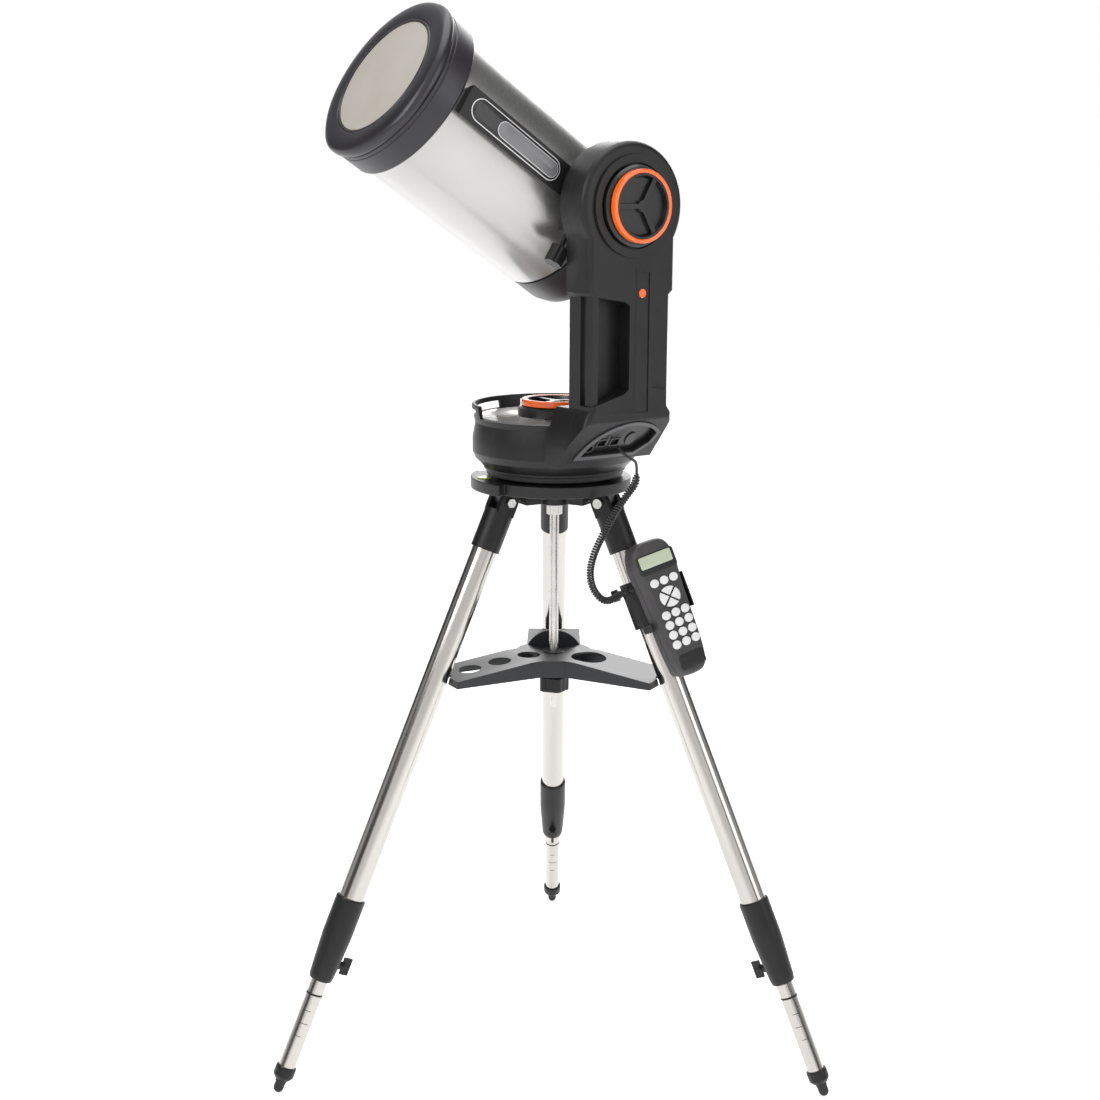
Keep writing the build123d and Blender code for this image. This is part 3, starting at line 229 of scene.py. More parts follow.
# ------------------------------------------------------------------ finishes
def finish(name, light, dark, rough=(0.4, 0.5), metallic=0.0, cloud=18.0, grain=900.0, bump=0.15,
           depth=0.0002,
           coat=0.0, coat_rough=0.1, specular=0.5, stretch=(1, 1, 1), turn=(0, 0, 0), transmission=0.0,
           ior=1.5):
    """Broad clouds of two near shades, with a fine grain that sets the relief and the roughness."""
    material = bpy.data.materials.new(name)
    material.use_nodes = True
    tree = material.node_tree
    shader = tree.nodes["Principled BSDF"]
    shader.inputs["Metallic"].default_value = metallic
    shader.inputs["Coat Weight"].default_value = coat
    shader.inputs["Coat Roughness"].default_value = coat_rough
    shader.inputs["Specular IOR Level"].default_value = specular
    shader.inputs["Transmission Weight"].default_value = transmission
    shader.inputs["IOR"].default_value = ior
    where = tree.nodes.new("ShaderNodeTexCoord")
    mapping = tree.nodes.new("ShaderNodeMapping")
    mapping.vector_type = "TEXTURE"
    mapping.inputs["Scale"].default_value = stretch
    mapping.inputs["Rotation"].default_value = turn
    tree.links.new(where.outputs["Object"], mapping.inputs["Vector"])

    def noise(scale, detail):
        node = tree.nodes.new("ShaderNodeTexNoise")
        node.inputs["Scale"].default_value = scale
        node.inputs["Detail"].default_value = detail
        tree.links.new(mapping.outputs["Vector"], node.inputs["Vector"])
        return node

    clouds = noise(cloud, 4.0)
    fine = noise(grain, 2.0)
    ramp = tree.nodes.new("ShaderNodeValToRGB")
    ramp.color_ramp.elements[0].position = 0.32
    ramp.color_ramp.elements[1].position = 0.68
    ramp.color_ramp.elements[0].color = (*dark, 1.0)
    ramp.color_ramp.elements[1].color = (*light, 1.0)
    tree.links.new(clouds.outputs["Fac"], ramp.inputs["Fac"])
    tree.links.new(ramp.outputs["Color"], shader.inputs["Base Color"])
    spread = tree.nodes.new("ShaderNodeMapRange")
    spread.inputs["To Min"].default_value = rough[0]
    spread.inputs["To Max"].default_value = rough[1]
    tree.links.new(fine.outputs["Fac"], spread.inputs["Value"])
    tree.links.new(spread.outputs["Result"], shader.inputs["Roughness"])
    relief = tree.nodes.new("ShaderNodeBump")
    relief.inputs["Strength"].default_value = bump
    relief.inputs["Distance"].default_value = depth
    tree.links.new(fine.outputs["Fac"], relief.inputs["Height"])
    tree.links.new(relief.outputs["Normal"], shader.inputs["Normal"])
    return material


MOULDED = finish("moulded_charcoal", (0.0110, 0.0107, 0.0110), (0.0077, 0.0074, 0.0077), (0.34, 0.5),
                 grain=1500, bump=0.35, specular=0.3)
HOUSING = finish("housing_charcoal", (0.0096, 0.0093, 0.0096), (0.0066, 0.0063, 0.0066), (0.3, 0.45),
                 grain=1500, bump=0.3, specular=0.32)
BLACK = finish("black_plastic", (0.0072, 0.0072, 0.0075), (0.0048, 0.0048, 0.0051), (0.33, 0.5), grain=1200,
               bump=0.25, specular=0.32)
CAST = finish("black_cast", (0.0108, 0.0108, 0.0114), (0.0072, 0.0072, 0.0078), (0.3, 0.45), grain=700,
              bump=0.35, coat=0.1, specular=0.32)
TIP = finish("foot_rubber", (0.012, 0.012, 0.012), (0.008, 0.008, 0.008), (0.6, 0.75), grain=900, bump=0.4)
DECK = finish("pale_deck", (0.66, 0.63, 0.60), (0.60, 0.58, 0.55), (0.10, 0.16), cloud=9, bump=0.03,
              coat=0.6)
TRIM = finish("grey_trim", (0.0723, 0.0723, 0.0765), (0.0595, 0.0595, 0.0629), (0.35, 0.5), bump=0.2,
              specular=0.35)
ORANGE = finish("orange_ring", (0.87, 0.135, 0.012), (0.80, 0.11, 0.009), (0.22, 0.3), cloud=25, bump=0.05,
                coat=0.5)
GLOSS = finish("gloss_black", (0.0070, 0.0070, 0.0073), (0.0049, 0.0049, 0.0052), (0.26, 0.38), bump=0.06,
               coat=0.1, specular=0.4)
SILVER = finish("silver_paint", (0.44, 0.435, 0.425), (0.40, 0.395, 0.385), (0.23, 0.31), 0.85, cloud=6,
                grain=2600,
                bump=0.08, coat=0.55, coat_rough=0.16)
VIOLET = finish("cell_paint", (0.0240, 0.0216, 0.0258), (0.0180, 0.0162, 0.0198), (0.32, 0.42), cloud=10,
                grain=1100, bump=0.15, specular=0.4)
CAPMAT = finish("cap_plastic", (0.0223, 0.0205, 0.0242), (0.0167, 0.0155, 0.0186), (0.26, 0.38), cloud=10,
                grain=900, bump=0.15, specular=0.42)
LABEL = finish("cap_label", (0.36, 0.335, 0.30), (0.33, 0.305, 0.27), (0.5, 0.62), cloud=14, grain=1400,
               bump=0.2)
STEEL = {}
for number, degrees in LEG_ANGLES.items():
    STEEL[number] = finish(f"stainless_{number}", (0.51, 0.49, 0.465), (0.44, 0.42, 0.40), (0.15, 0.22),
                           1.0, cloud=40,
                           grain=500, bump=0.06, stretch=(1, 1, 30), turn=(0, -LEAN, math.radians(degrees)))
ZINC = finish("zinc_steel", (0.58, 0.57, 0.55), (0.50, 0.49, 0.47), (0.2, 0.34), 1.0, cloud=60, grain=900,
              bump=0.1)
TRAY = finish("tray_plastic", (0.0119, 0.0129, 0.0149), (0.0092, 0.0099, 0.0116), (0.26, 0.40), cloud=12,
              grain=800, bump=0.2, specular=0.38)
VIAL = finish("level_vial", (0.45, 0.55, 0.05), (0.36, 0.46, 0.03), (0.05, 0.1), bump=0.0, coat=1.0)
CASE = finish("hand_case", (0.0476, 0.0449, 0.0467), (0.0368, 0.0347, 0.0370), (0.4, 0.55), grain=1500,
              bump=0.35, specular=0.35)
PANEL = finish("hand_panel", (0.0150, 0.0150, 0.0158), (0.0120, 0.0120, 0.0128), (0.4, 0.5), grain=1500,
               bump=0.25, specular=0.35)
LCD = finish("display_glass", (0.4440, 0.4977, 0.3740), (0.4144, 0.4661, 0.3468), (0.08, 0.12), cloud=60,
             bump=0.0, coat=0.8)
KEYS = finish("key_caps", (0.66, 0.66, 0.66), (0.60, 0.60, 0.60), (0.35, 0.45), cloud=90, bump=0.1)
PALE = finish("pale_print", (0.70, 0.70, 0.70), (0.66, 0.66, 0.66), (0.35, 0.45), bump=0.05)
GREYBAR = finish("grey_badge", (0.17, 0.17, 0.175), (0.15, 0.15, 0.155), (0.3, 0.4), bump=0.1)
CORD = finish("cord_sheath", (0.0240, 0.0240, 0.0255), (0.0180, 0.0180, 0.0195), (0.38, 0.5), cloud=120,
              grain=1800, bump=0.3, specular=0.35)
BRASS = finish("gear_brass", (0.55, 0.40, 0.14), (0.48, 0.34, 0.11), (0.25, 0.35), 1.0)
CELLS = finish("battery_wrap", (0.03, 0.16, 0.06), (0.02, 0.12, 0.045), (0.2, 0.3))
GLASS = finish("corrector_glass", (0.90, 0.97, 0.94), (0.88, 0.95, 0.92), (0.02, 0.03), transmission=1.0,
               bump=0.0)
MIRROR = finish("mirror_coat", (0.86, 0.87, 0.88), (0.84, 0.85, 0.86), (0.02, 0.04), 1.0, bump=0.0)
MOTOR = finish("motor_can", (0.30, 0.30, 0.30), (0.25, 0.25, 0.25), (0.3, 0.4), 0.9)


def wear(piece, material, body, slot, *nodes):
    """Give a piece its finish and body, and hide the nodes it stands for; a blended piece has no body. The
    slot argument is not used.
    """
    piece.data.materials.clear()
    piece.data.materials.append(material)
    if body:
        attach(piece, body)
    if nodes:
        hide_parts(*nodes)
    return piece


def paint(node, material):
    """Assign a finish to a node that keeps its own shape."""
    piece = NODES[node]
    if not piece.material_slots:
        piece.data.materials.append(material)
    for place in piece.material_slots:
        place.material = material


# ------------------------------------------------------------------ cords
LEAD_ROUTE = [(0.08928, -0.12661, 0.95687), (0.0962, -0.1361, 0.9476), (0.110, -0.137, 0.939),
              (0.118, -0.124, 0.933), (0.118, -0.124, 0.918)]
COIL_ROUTE = [(0.118, -0.124, 0.918), (0.118, -0.124, 0.903), (0.106, -0.124, 0.887),
              (0.088, -0.126, 0.861),
              (0.072, -0.126, 0.830), (0.058, -0.125, 0.800), (0.051, -0.124, 0.770),
              (0.057, -0.122, 0.742),
              (0.076, -0.119, 0.722), (0.10176, -0.09427, 0.73317), (0.11414, -0.10775, 0.74095)]
LEAD_D = 0.004
COIL_WIRE = 0.0034
COIL_R = 0.0042
COIL_PITCH = 0.0040
TURN_STEPS = 12


def route_curve(name, points, thickness):
    """One open NURBS spline through the route's control points."""
    data = bpy.data.curves.new(name, "CURVE")
    data.dimensions = "3D"
    spline = data.splines.new("NURBS")
    spline.points.add(len(points) - 1)
    for control, point in zip(spline.points, points):
        control.co = (*point, 1.0)
    spline.order_u = 3
    spline.use_endpoint_u = True
    spline.resolution_u = 24
    data.bevel_depth = thickness / 2
    data.bevel_resolution = 6
    data.use_fill_caps = True
    curve = bpy.data.objects.new(name, data)
    bpy.context.scene.collection.objects.link(curve)
    return curve


def route_points(curve):
    """Points read along a curve that has no bevel."""
    mesh = bpy.data.meshes.new_from_object(curve)
    points = np.array([v.co for v in mesh.vertices])
    bpy.data.meshes.remove(mesh)
    return points


def even(points, step):
    """The same line with points an equal arc length apart."""
    run = np.concatenate([[0], np.cumsum(np.linalg.norm(np.diff(points, axis=0), axis=1))])
    at = np.linspace(0, run[-1], max(2, int(round(run[-1] / step)) + 1))
    return np.stack([np.interp(at, run, points[:, k]) for k in range(3)], -1)


def helix(points, radius, pitch, steps):
    """Points that wind round a line; the winding grows from the line over the first and last turns."""
    line = even(points, pitch / steps)
    count = len(line)
    ahead = np.gradient(line, axis=0)
    ahead /= np.linalg.norm(ahead, axis=1)[:, None]
    across = np.cross(ahead[0], (1.0, 0.0, 0.0))
    out = []
    for k in range(count):
        across = across - ahead[k] * np.dot(across, ahead[k])
        across /= np.linalg.norm(across)
        turn = 2 * math.pi * k / steps
        ease = min(1.0, k / (2.0 * steps), (count - 1 - k) / (2.0 * steps))
        swing = math.cos(turn) * across + math.sin(turn) * np.cross(ahead[k], across)
        out.append(line[k] + radius * ease * swing)
    return np.array(out)


def tube_along(name, points, radius, sides=10):
    """Tube mesh: rings of points at the radius about each point of a path, closed by its ends' centres."""
    ahead = np.gradient(points, axis=0)
    ahead /= np.linalg.norm(ahead, axis=1)[:, None]
    across = np.zeros_like(points)
    last = np.cross(ahead[0], (0.3, 0.9, 0.1))
    for k in range(len(points)):
        last = last - ahead[k] * np.dot(last, ahead[k])
        last /= np.linalg.norm(last)
        across[k] = last
    other = np.cross(ahead, across)
    t = np.linspace(0, 2 * math.pi, sides, endpoint=False)
    cosine, sine = np.cos(t)[None, :, None], np.sin(t)[None, :, None]
    rings = points[:, None] + radius * (cosine * across[:, None] + sine * other[:, None])
    rings = np.concatenate([np.repeat(points[:1, None], sides, 1), rings,
                            np.repeat(points[-1:, None], sides, 1)])
    return sharpen(add_mesh(name, rings.reshape(-1, 3), grid_faces(len(rings), sides, False, True)), 60)


def make_cords():
    lead_line = route_curve("lead_line", LEAD_ROUTE, 0.0)
    lead_path = even(route_points(lead_line), 0.001)
    lead = tube_along("lead", lead_path, LEAD_D / 2, 14)
    coil_line = route_curve("coil_line", COIL_ROUTE, 0.0)
    turns = helix(route_points(coil_line), COIL_R, COIL_PITCH, TURN_STEPS)
    for line in (lead_line, coil_line):
        bpy.data.objects.remove(line)
    middle = len(turns) // 2
    upper, lower = turns[:middle + 1], turns[middle:]
    coil_top = tube_along("coil_upper", upper, COIL_WIRE / 2, 8)
    coil_low = tube_along("coil_lower", lower, COIL_WIRE / 2, 8)
    wear(lead, CORD, None, "cord_grey", "cord_lead")
    wear(coil_top, CORD, None, "cord_grey", "cord_coil")
    wear(coil_low, CORD, None, "cord_grey", "cord_coil")
    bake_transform(lead)
    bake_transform(coil_top)
    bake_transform(coil_low)


make_cords()


# ------------------------------------------------------------------ optical tube
def make_optics():
    skin = lathe("tube_skin", TUBE, [(TUBE_BORE, TUBE_BACK), (TUBE_R, TUBE_BACK), (TUBE_R, TUBE_FRONT),
                                     (TUBE_BORE, TUBE_FRONT)], ROUND)
    wear(skin, SILVER, "altitude", "tube_silver", "tube_shell")
    cell = [(0.1085, 0.263), (0.11245, 0.263), (0.11245, 0.27705), (0.1185, 0.27705, 0.001),
            (0.1200, 0.2795, 0.001),
            (0.1200, 0.3105, 0.001), (0.1190, 0.3110, 0.0004), (0.1190, 0.3122, 0.0004),
            (0.1200, 0.3127, 0.001),
            (0.1200, 0.3165, 0.001), (0.1185, 0.318, 0.001), (0.1076, 0.318, 0.001), (0.1056, 0.305),
            (0.1041, 0.305),
            (0.1041, 0.300), (0.1016, 0.29995), (0.1016, 0.294)]
    wear(lathe("front_ring", TUBE, rounded(cell, 0), ROUND), VIOLET, "altitude", "cell_purple",
         "front_cell")

    def lobes(t, h):
        """Four shallow lobes: a smooth cosine power round the rim, fading over the cap's front edge."""
        swell = 0.5 + 0.5 * np.cos(4 * (t - math.radians(35)))
        return 0.0024 * swell ** 3 * np.clip((0.3335 - h) / 0.004, 0, 1)

    cap = [(0, 0.322, 0), (0.092, 0.322, 0.002), (0.1046, 0.3186, 0), (0.1200, 0.3186, 0.0008),
           (0.1213, 0.3210, 0.0008),
           (0.1213, 0.3270, 0.003), (0.1165, 0.3330, 0.004), (0.1060, 0.3340, 0.004),
           (0.0915, 0.3338, 0.0006),
           (0.0905, 0.3322, 0.0004), (0.0895, 0.3338, 0.0006), (0.0872, 0.3338, 0.0008),
           (0.0862, 0.3315, 0), (0, 0.3315, 0)]
    wear(lathe("front_cap", TUBE, rounded(cap, 0), 240, close=False, wave=lobes), CAPMAT, "lens_cap",
         "cap_plastic", "lens_cap")
    disc = [(0, 0.33155, 0), (0.0860, 0.33155, 0), (0.0858, 0.3328, 0.0004), (0, 0.3330, 0)]
    wear(lathe("cap_face", TUBE, rounded(disc, 0), 128, close=False), LABEL, "lens_cap", "cap_label",
         "cap_disc")
    wear(cad_shell("rear_cell", "rear_casting", 0.0008), VIOLET, "altitude", "cell_purple", "rear_cell")
    wear(cad_shell("visual_back", "eyepiece_holder", 0.0005), BLACK, "altitude", "dovetail_black",
         "visual_back")
    wear(cad_shell("dovetail_bar", "dovetail", 0.001), MOULDED, "altitude", "dovetail_black",
         "dovetail_bar")
    wear(cad_shell("saddle_hub", "saddle", 0.0012), MOULDED, "altitude", "saddle_metal", "saddle_hub")
    wear(cad_shell("clamp_knob", "clamp_screw", 0.0008), BLACK, "clamp_knob", "black_plastic", "clamp_knob")
    wear(cad_shell("focus_knob", "focuser", 0.0008), BLACK, "focus_knob", "black_plastic", "focus_knob")
    paint("corrector_plate", GLASS)
    paint("secondary_cell", VIOLET)
    paint("baffle_tube", BLACK)
    paint("primary_mirror", MIRROR)
    paint("altitude_gear", BRASS)


def stadium(name, place, s0, s1, half, low, high, edge=0.0004, steps=16):
    """Flat bar with half-circle ends from s0 to s1, its top edge rounded inwards."""
    angle = np.linspace(-math.pi / 2, math.pi / 2, steps)
    right = np.stack([s1 - half + half * np.cos(angle), half * np.sin(angle)], -1)
    left = np.stack([s0 + half - half * np.cos(angle), -half * np.sin(angle)], -1)
    outline = np.concatenate([right, left])
    centre = np.array([(s0 + s1) / 2, 0.0])
    spine = np.clip(outline[:, :1], s0 + half, s1 - half) * np.array([1.0, 0.0])
    rows = []
    for cut, height in ((0, low), (0, high - edge), (edge * 0.3, high - edge * 0.3), (edge, high),
                        (half * 0.999, high)):
        inward = outline + (spine - outline) * min(cut / half, 1.0)
        rows.append(np.concatenate([inward, np.full((len(outline), 1), height)], 1))
    rows.append(np.concatenate([np.repeat(centre[None], len(outline), 0), np.full((len(outline), 1), high)],
                               1))
    start = np.concatenate([np.repeat(centre[None], len(outline), 0), np.full((len(outline), 1), low)], 1)
    points = np.concatenate([start[None], np.array(rows)]).reshape(-1, 3)
    return sharpen(add_mesh(name, place(points), grid_faces(len(rows) + 1, len(outline), False, True)))


def make_badge():
    """Blank two-tone badge along the dovetail bar."""
    face = TUBE_A + TUBE_R + SADDLE_SEAT
    place = frame_of(ALT_Z * UP + TUBE_N * OVER + face * SIDE, OPTIC, OVER, SIDE)
    for name, s0, s1, half, high, material, slot in (
            ("badge_rim", 0.093, 0.260, 0.0165, 0.0004, PALE, "key_white"),
            ("badge_field", 0.0942, 0.2588, 0.0153, 0.0007, GLOSS, "knob_black"),
            ("badge_bar_rim", 0.0965, 0.2110, 0.0118, 0.0010, PALE, "key_white"),
            ("badge_bar", 0.0973, 0.2102, 0.0110, 0.0013, GREYBAR, "trim_grey")):
        wear(stadium(name, place, s0, s1, half, -0.0003, high, 0.0003), material, "altitude", slot)


# ------------------------------------------------------------------ arm and base
RING = [(0.0446, 0.0002, 0.0008), (0.0505, 0.0002, 0.0008), (0.0505, 0.0098, 0.0022),
        (0.0446, 0.0098, 0.0022)]
AZ_TOP = frame_of((0, 0, 1.0), AHEAD, SIDE, UP)
ALT_FACE = frame_of(ALT_Z * UP + 0.194 * SIDE, AHEAD, UP, SIDE)


def make_mount():
    for node, name, width, material, slot in (
            ("arm_outer_shell", "arm_cover", 0.0022, MOULDED, "arm_charcoal"),
            ("arm_inner_shell", "arm_back", 0.0018, MOULDED, "arm_charcoal"),
            ("base_housing", "base_shell", 0.0012, HOUSING, "arm_charcoal"),
            ("port_trim", "arch_trim", 0.0006, TRIM, "trim_grey"),
            ("port_panel", "control_panel", 0.0004, GLOSS, "black_plastic")):
        wear(cad_shell(node, name, width, angle=14.0 if node == "base_housing" else 30.0), material,
             "azimuth", slot, node)
    deck = cad_shell("base_deck", "deck_lid", 0.0012)
    deck.data.materials.clear()
    wear(deck, MOULDED, "azimuth", "deck_pale", "base_deck")
    deck.data.materials.append(DECK)
    flat = [abs(p.normal.z) > 0.9 and 0.9835 < p.center.z < 0.9846 for p in deck.data.polygons]
    deck.data.polygons.foreach_set("material_index", np.array(flat, np.int32))
    for node, ring_node, body, place in (("az_knob", "az_ring", "az_clutch", AZ_TOP),
                                         ("alt_knob", "alt_ring", "alt_clutch", ALT_FACE)):
        wear(cad_shell(node, node + "_body", 0.0012), GLOSS, body, "knob_black", node)
        wear(lathe(ring_node + "_band", place, rounded(RING, 0), 160), ORANGE, body, "orange", ring_node)
    dot = frame_of(ARM_FACE * SIDE - DOT_BACK * AHEAD + DOT_Z * UP, AHEAD, UP, SIDE)
    wear(lathe("arm_dot", dot, [(0, -0.0004), (0.0062, -0.0004), (0.0062, 0.0004), (0.0056, 0.0008),
                                (0, 0.0009)], 48, False),
         ORANGE, "azimuth", "orange")
    for node, material in (("battery_pack", CELLS), ("azimuth_motor", MOTOR), ("altitude_motor", MOTOR)):
        paint(node, material)
    wear(cad_shell("mount_foot", "foot_disc", 0.0010), HOUSING, "tripod", "black_cast", "mount_foot")
    paint("azimuth_gear", BRASS)


# ------------------------------------------------------------------ tripod
def tip(distance):
    """Leg height of a place given by its distance up from the rubber tip."""
    return distance - LEG_LENGTH


def arc_band(name, place, radius, low, high, start, end, steps=12, thick=0.00015):
    """Thin band on a round tube between two heights and two angles, closed at its sides."""
    t = np.linspace(start, end, steps)
    rows = [np.stack([r * np.cos(t), r * np.sin(t), np.full_like(t, h)], -1)
            for r, h in ((radius - thick, low), (radius + thick, low), (radius + thick, high),
                         (radius - thick, high))]
    return sharpen(add_mesh(name, place(np.array(rows).reshape(-1, 3)), grid_faces(4, steps, True, False)))


PIPE_R = 0.01905                    # upper leg tube
PIPE_BORE = 0.01755
LOWER_R = 0.0127                    # lower leg tube
LOWER_BORE = 0.0112
BALL_R = 0.0075                     # rubber tip


def make_legs():
    for i in LEG_ANGLES:
        place, leg, low = LEGS[i], f"leg_{i}", f"leg_lower_{i}"
        pipe = lathe(f"leg_pipe_{i}", place,
                     [(PIPE_BORE, tip(0.225)), (PIPE_R, tip(0.225)), (PIPE_R, -0.030), (PIPE_BORE, -0.030)],
                     64)
        wear(pipe, STEEL[i], leg, "stainless", f"leg_tube_{i}")
        collar = [(0.01295, tip(0.180)), (0.0170, tip(0.180), 0.0015), (0.0185, tip(0.187), 0.002),
                  (0.0210, tip(0.225), 0.006),
                  (0.0225, tip(0.250), 0.006), (0.0225, tip(0.308), 0.0015), (0.0215, tip(0.310), 0.001),
                  (0.01907, tip(0.310)),
                  (0.01907, tip(0.2251)), (0.01295, tip(0.2249))]
        wear(lathe(f"leg_collar_{i}", place, rounded(collar, 0), 64), BLACK, leg, "black_plastic",
             f"leg_fittings_{i}")
        yoke = cad_shell(f"leg_fittings_{i}", f"leg_yoke_{i}", 0.0012, keep=lambda v: v[2] > 0.6)
        wear(yoke, BLACK, leg, "black_plastic", f"leg_fittings_{i}")
        boss = lathe(f"lock_boss_{i}", frame_of(place((0, 0, tip(0.206))), *boss_axes(i)),
                     [(0.0034, 0.0155), (0.0072, 0.0155, 0), (0.0062, 0.0240, 0.001), (0.0034, 0.0240, 0)],
                     40)
        wear(boss, BLACK, leg, "black_plastic")
        wear(cad_shell(f"lock_knob_{i}", f"lock_wing_{i}", 0.0012, segments=3), BLACK, f"lock_knob_{i}",
             "black_plastic", f"lock_knob_{i}")
        inner = lathe(f"lower_pipe_{i}", place,
                      [(LOWER_BORE, tip(0.025)), (LOWER_R, tip(0.025)), (LOWER_R, tip(0.470)),
                       (LOWER_BORE, tip(0.470))], 48)
        wear(inner, STEEL[i], low, "stainless", f"leg_lower_{i}")
        cap = [(0, tip(0.0210)), (0.0105, tip(0.0210), 0.001), (0.0155, tip(0.0270), 0.002),
               (0.0155, tip(0.0400), 0.0012),
               (0.0150, tip(0.0420), 0.0005), (0.0128, tip(0.0420), 0), (0.0128, tip(0.0260), 0),
               (0, tip(0.0260), 0)]
        wear(lathe(f"foot_cap_{i}", place, rounded(cap, 0), 48, close=False), BLACK, low, "black_plastic",
             f"leg_lower_{i}")
        centre = tip(BALL_R / math.cos(LEAN))
        ball = [(BALL_R * math.sin(a), centre - BALL_R * math.cos(a)) for a in np.linspace(0, math.pi / 2,
                                                                                           9)]
        pad = ball + [(BALL_R, tip(0.0150)), (0.0085, tip(0.0180)), (0.0085, tip(0.0212)), (0, tip(0.0212))]
        wear(lathe(f"foot_tip_{i}", place, pad, 40, close=False), TIP, low, "black_plastic",
             f"leg_lower_{i}")
        wear(arc_band(f"leg_mark_{i}", place, LOWER_R, tip(0.1560), tip(0.1590), 0, 2 * math.pi, 49), BLACK,
             low, "black_plastic")
        for k, (height, span) in enumerate(((0.132, 0.35), (0.112, 0.6), (0.092, 0.35))):
            facing = math.radians({1: 60.0, 2: -60.0, 3: 180.0}[i])
            wear(arc_band(f"leg_tick_{i}_{k}", place, LOWER_R, tip(height), tip(height + 0.0008),
                          facing - span, facing + span),
                 BLACK, low, "black_plastic")


def boss_axes(number):
    """Axes of a lock boss: it points inwards from the leg, square to it."""
    _, x, y, z = leg_axes(number)
    return y, z, -x


def make_tripod():
    wear(cad_shell("tripod_head", "head_casting", 0.0014), CAST, "tripod", "black_cast", "tripod_head")
    wear(cad_shell("pivot_bolts", "bolts", 0.0007), ZINC, "tripod", "steel_zinc", "pivot_bolts")
    wear(cad_shell("centre_rod", "rod", 0.0005), ZINC, "tripod", "steel_zinc", "centre_rod")
    paint("bubble_level", VIAL)
    wear(cad_shell("accessory_tray", "tray_body", 0.0012), TRAY, "tray", "tray_grey", "accessory_tray")
    wear(cad_shell("tray_knob", "tray_nut", 0.0014, segments=3), BLACK, "tray_knob", "black_plastic",
         "tray_knob")


# ------------------------------------------------------------------ hand control
HC_TOP = -0.076
HC_BOTTOM = -0.282
HC_FACE = 0.062
HC_BACK = 0.035
HC_MIDDLE = -0.178
KEY_HALF = (0.0087, 0.0064)
MENU_HALF = (0.0087, 0.0063)
WELL_HALF = (0.0096, 0.0073)
MENU_Z = -0.139                     # top row of keys
PAD_Z = -0.164
PAD_HALF = (0.0211, 0.0152)
PAD_WELL = (0.0224, 0.0165)
KEY_FOOT = HC_FACE - 0.004          # keys start below the face and end above it
KEY_TOP = HC_FACE + 0.0018
WELL_FOOT = HC_FACE - 0.001
WELL_TOP = HC_FACE + 0.00025
WELL_EDGE = 0.0002
CASE_STEPS = 160


def half_width(z):
    """Half the case's width at a height: wide head, waist, narrower foot, joined smoothly."""
    at = [HC_BOTTOM, HC_BOTTOM + 0.030, HC_TOP - 0.078, HC_TOP - 0.058, HC_TOP - 0.036, HC_TOP]
    wide = [0.0345, 0.0352, 0.0378, 0.0405, 0.0447, 0.0447]
    return np.interp(z, at, wide)


def case_ring(shrink, drop, count=CASE_STEPS):
    """Outline of the case: a rounded box in angle t whose width follows half_width, moved in by shrink."""
    t = np.linspace(0, 2 * math.pi, count, endpoint=False)
    c, s = np.cos(t), np.sin(t)
    up = np.sign(s) * np.abs(s) ** 0.42
    across = np.sign(c) * np.abs(c) ** 0.42
    middle, tall = (HC_TOP + HC_BOTTOM) / 2, (HC_TOP - HC_BOTTOM) / 2
    bulge = 0.004 * (1 - across ** 2)
    z = middle + up * (tall - shrink - 0.004) + np.sign(up) * bulge * np.abs(up)
    y = HAND_Y + across * (half_width(z) - shrink)
    return np.stack([np.full(count, drop), y, z], -1)


def make_case():
    r = 0.006
    rows = [np.repeat(np.array([[HC_BACK, HAND_Y, HC_MIDDLE]]), CASE_STEPS, 0)]
    rows += [case_ring(0.012, HC_BACK), case_ring(0.004, HC_BACK + 0.0006),
             case_ring(0.0008, HC_BACK + 0.003)]
    rows += [case_ring(0, HC_BACK + 0.006), case_ring(0, HC_BACK + 0.0125),
             case_ring(0.0005, HC_BACK + 0.0128),
             case_ring(0.0005, HC_BACK + 0.0134), case_ring(0, HC_BACK + 0.0137)]
    for a in np.linspace(0, math.pi / 2, 8):
        rows.append(case_ring(r * (1 - math.cos(a)), HC_FACE - r + r * math.sin(a)))
    rows += [case_ring(0.012, HC_FACE), case_ring(0.024, HC_FACE)]
    rows.append(np.repeat(np.array([[HC_FACE, HAND_Y, HC_MIDDLE]]), CASE_STEPS, 0))
    shell = add_mesh("hand_shell", HAND(np.array(rows).reshape(-1, 3)),
                     grid_faces(len(rows), CASE_STEPS, False, True))
    wear(sharpen(shell, 40), CASE, "handset", "case_grey", "hc_case")


def pad(name, y, z, half_y, half_z, low, high, power=1.0, dome=0.0006, edge=0.0008, steps=40, turn=0.0):
    """Raised pad: superellipse outline in angle t, straight sides, a rounded edge and a crowned top."""
    t = np.linspace(0, 2 * math.pi, steps, endpoint=False) + turn
    c, s = np.cos(t), np.sin(t)
    oy, oz = np.sign(c) * np.abs(c) ** power * half_y, np.sign(s) * np.abs(s) ** power * half_z
    rows = []
    small = min(half_y, half_z)
    for cut, x in ((small, low), (0, low), (0, high - edge), (edge * 0.3, high - edge * 0.3), (edge, high),
                   (small * 0.5, high + dome * 0.75), (small * 0.8, high + dome * 0.96),
                   (small, high + dome)):
        k = 1 - cut / small
        rows.append(np.stack([np.full(steps, x), HAND_Y + y + oy * k, z + oz * k], -1))
    points = np.array(rows).reshape(-1, 3)
    return sharpen(add_mesh(name, HAND(points), grid_faces(len(rows), steps, False, True)), 50)


KEY_Y = (-0.021, 0.0, 0.021)
ROWS = [-0.1885 - 0.015 * k for k in range(4)]


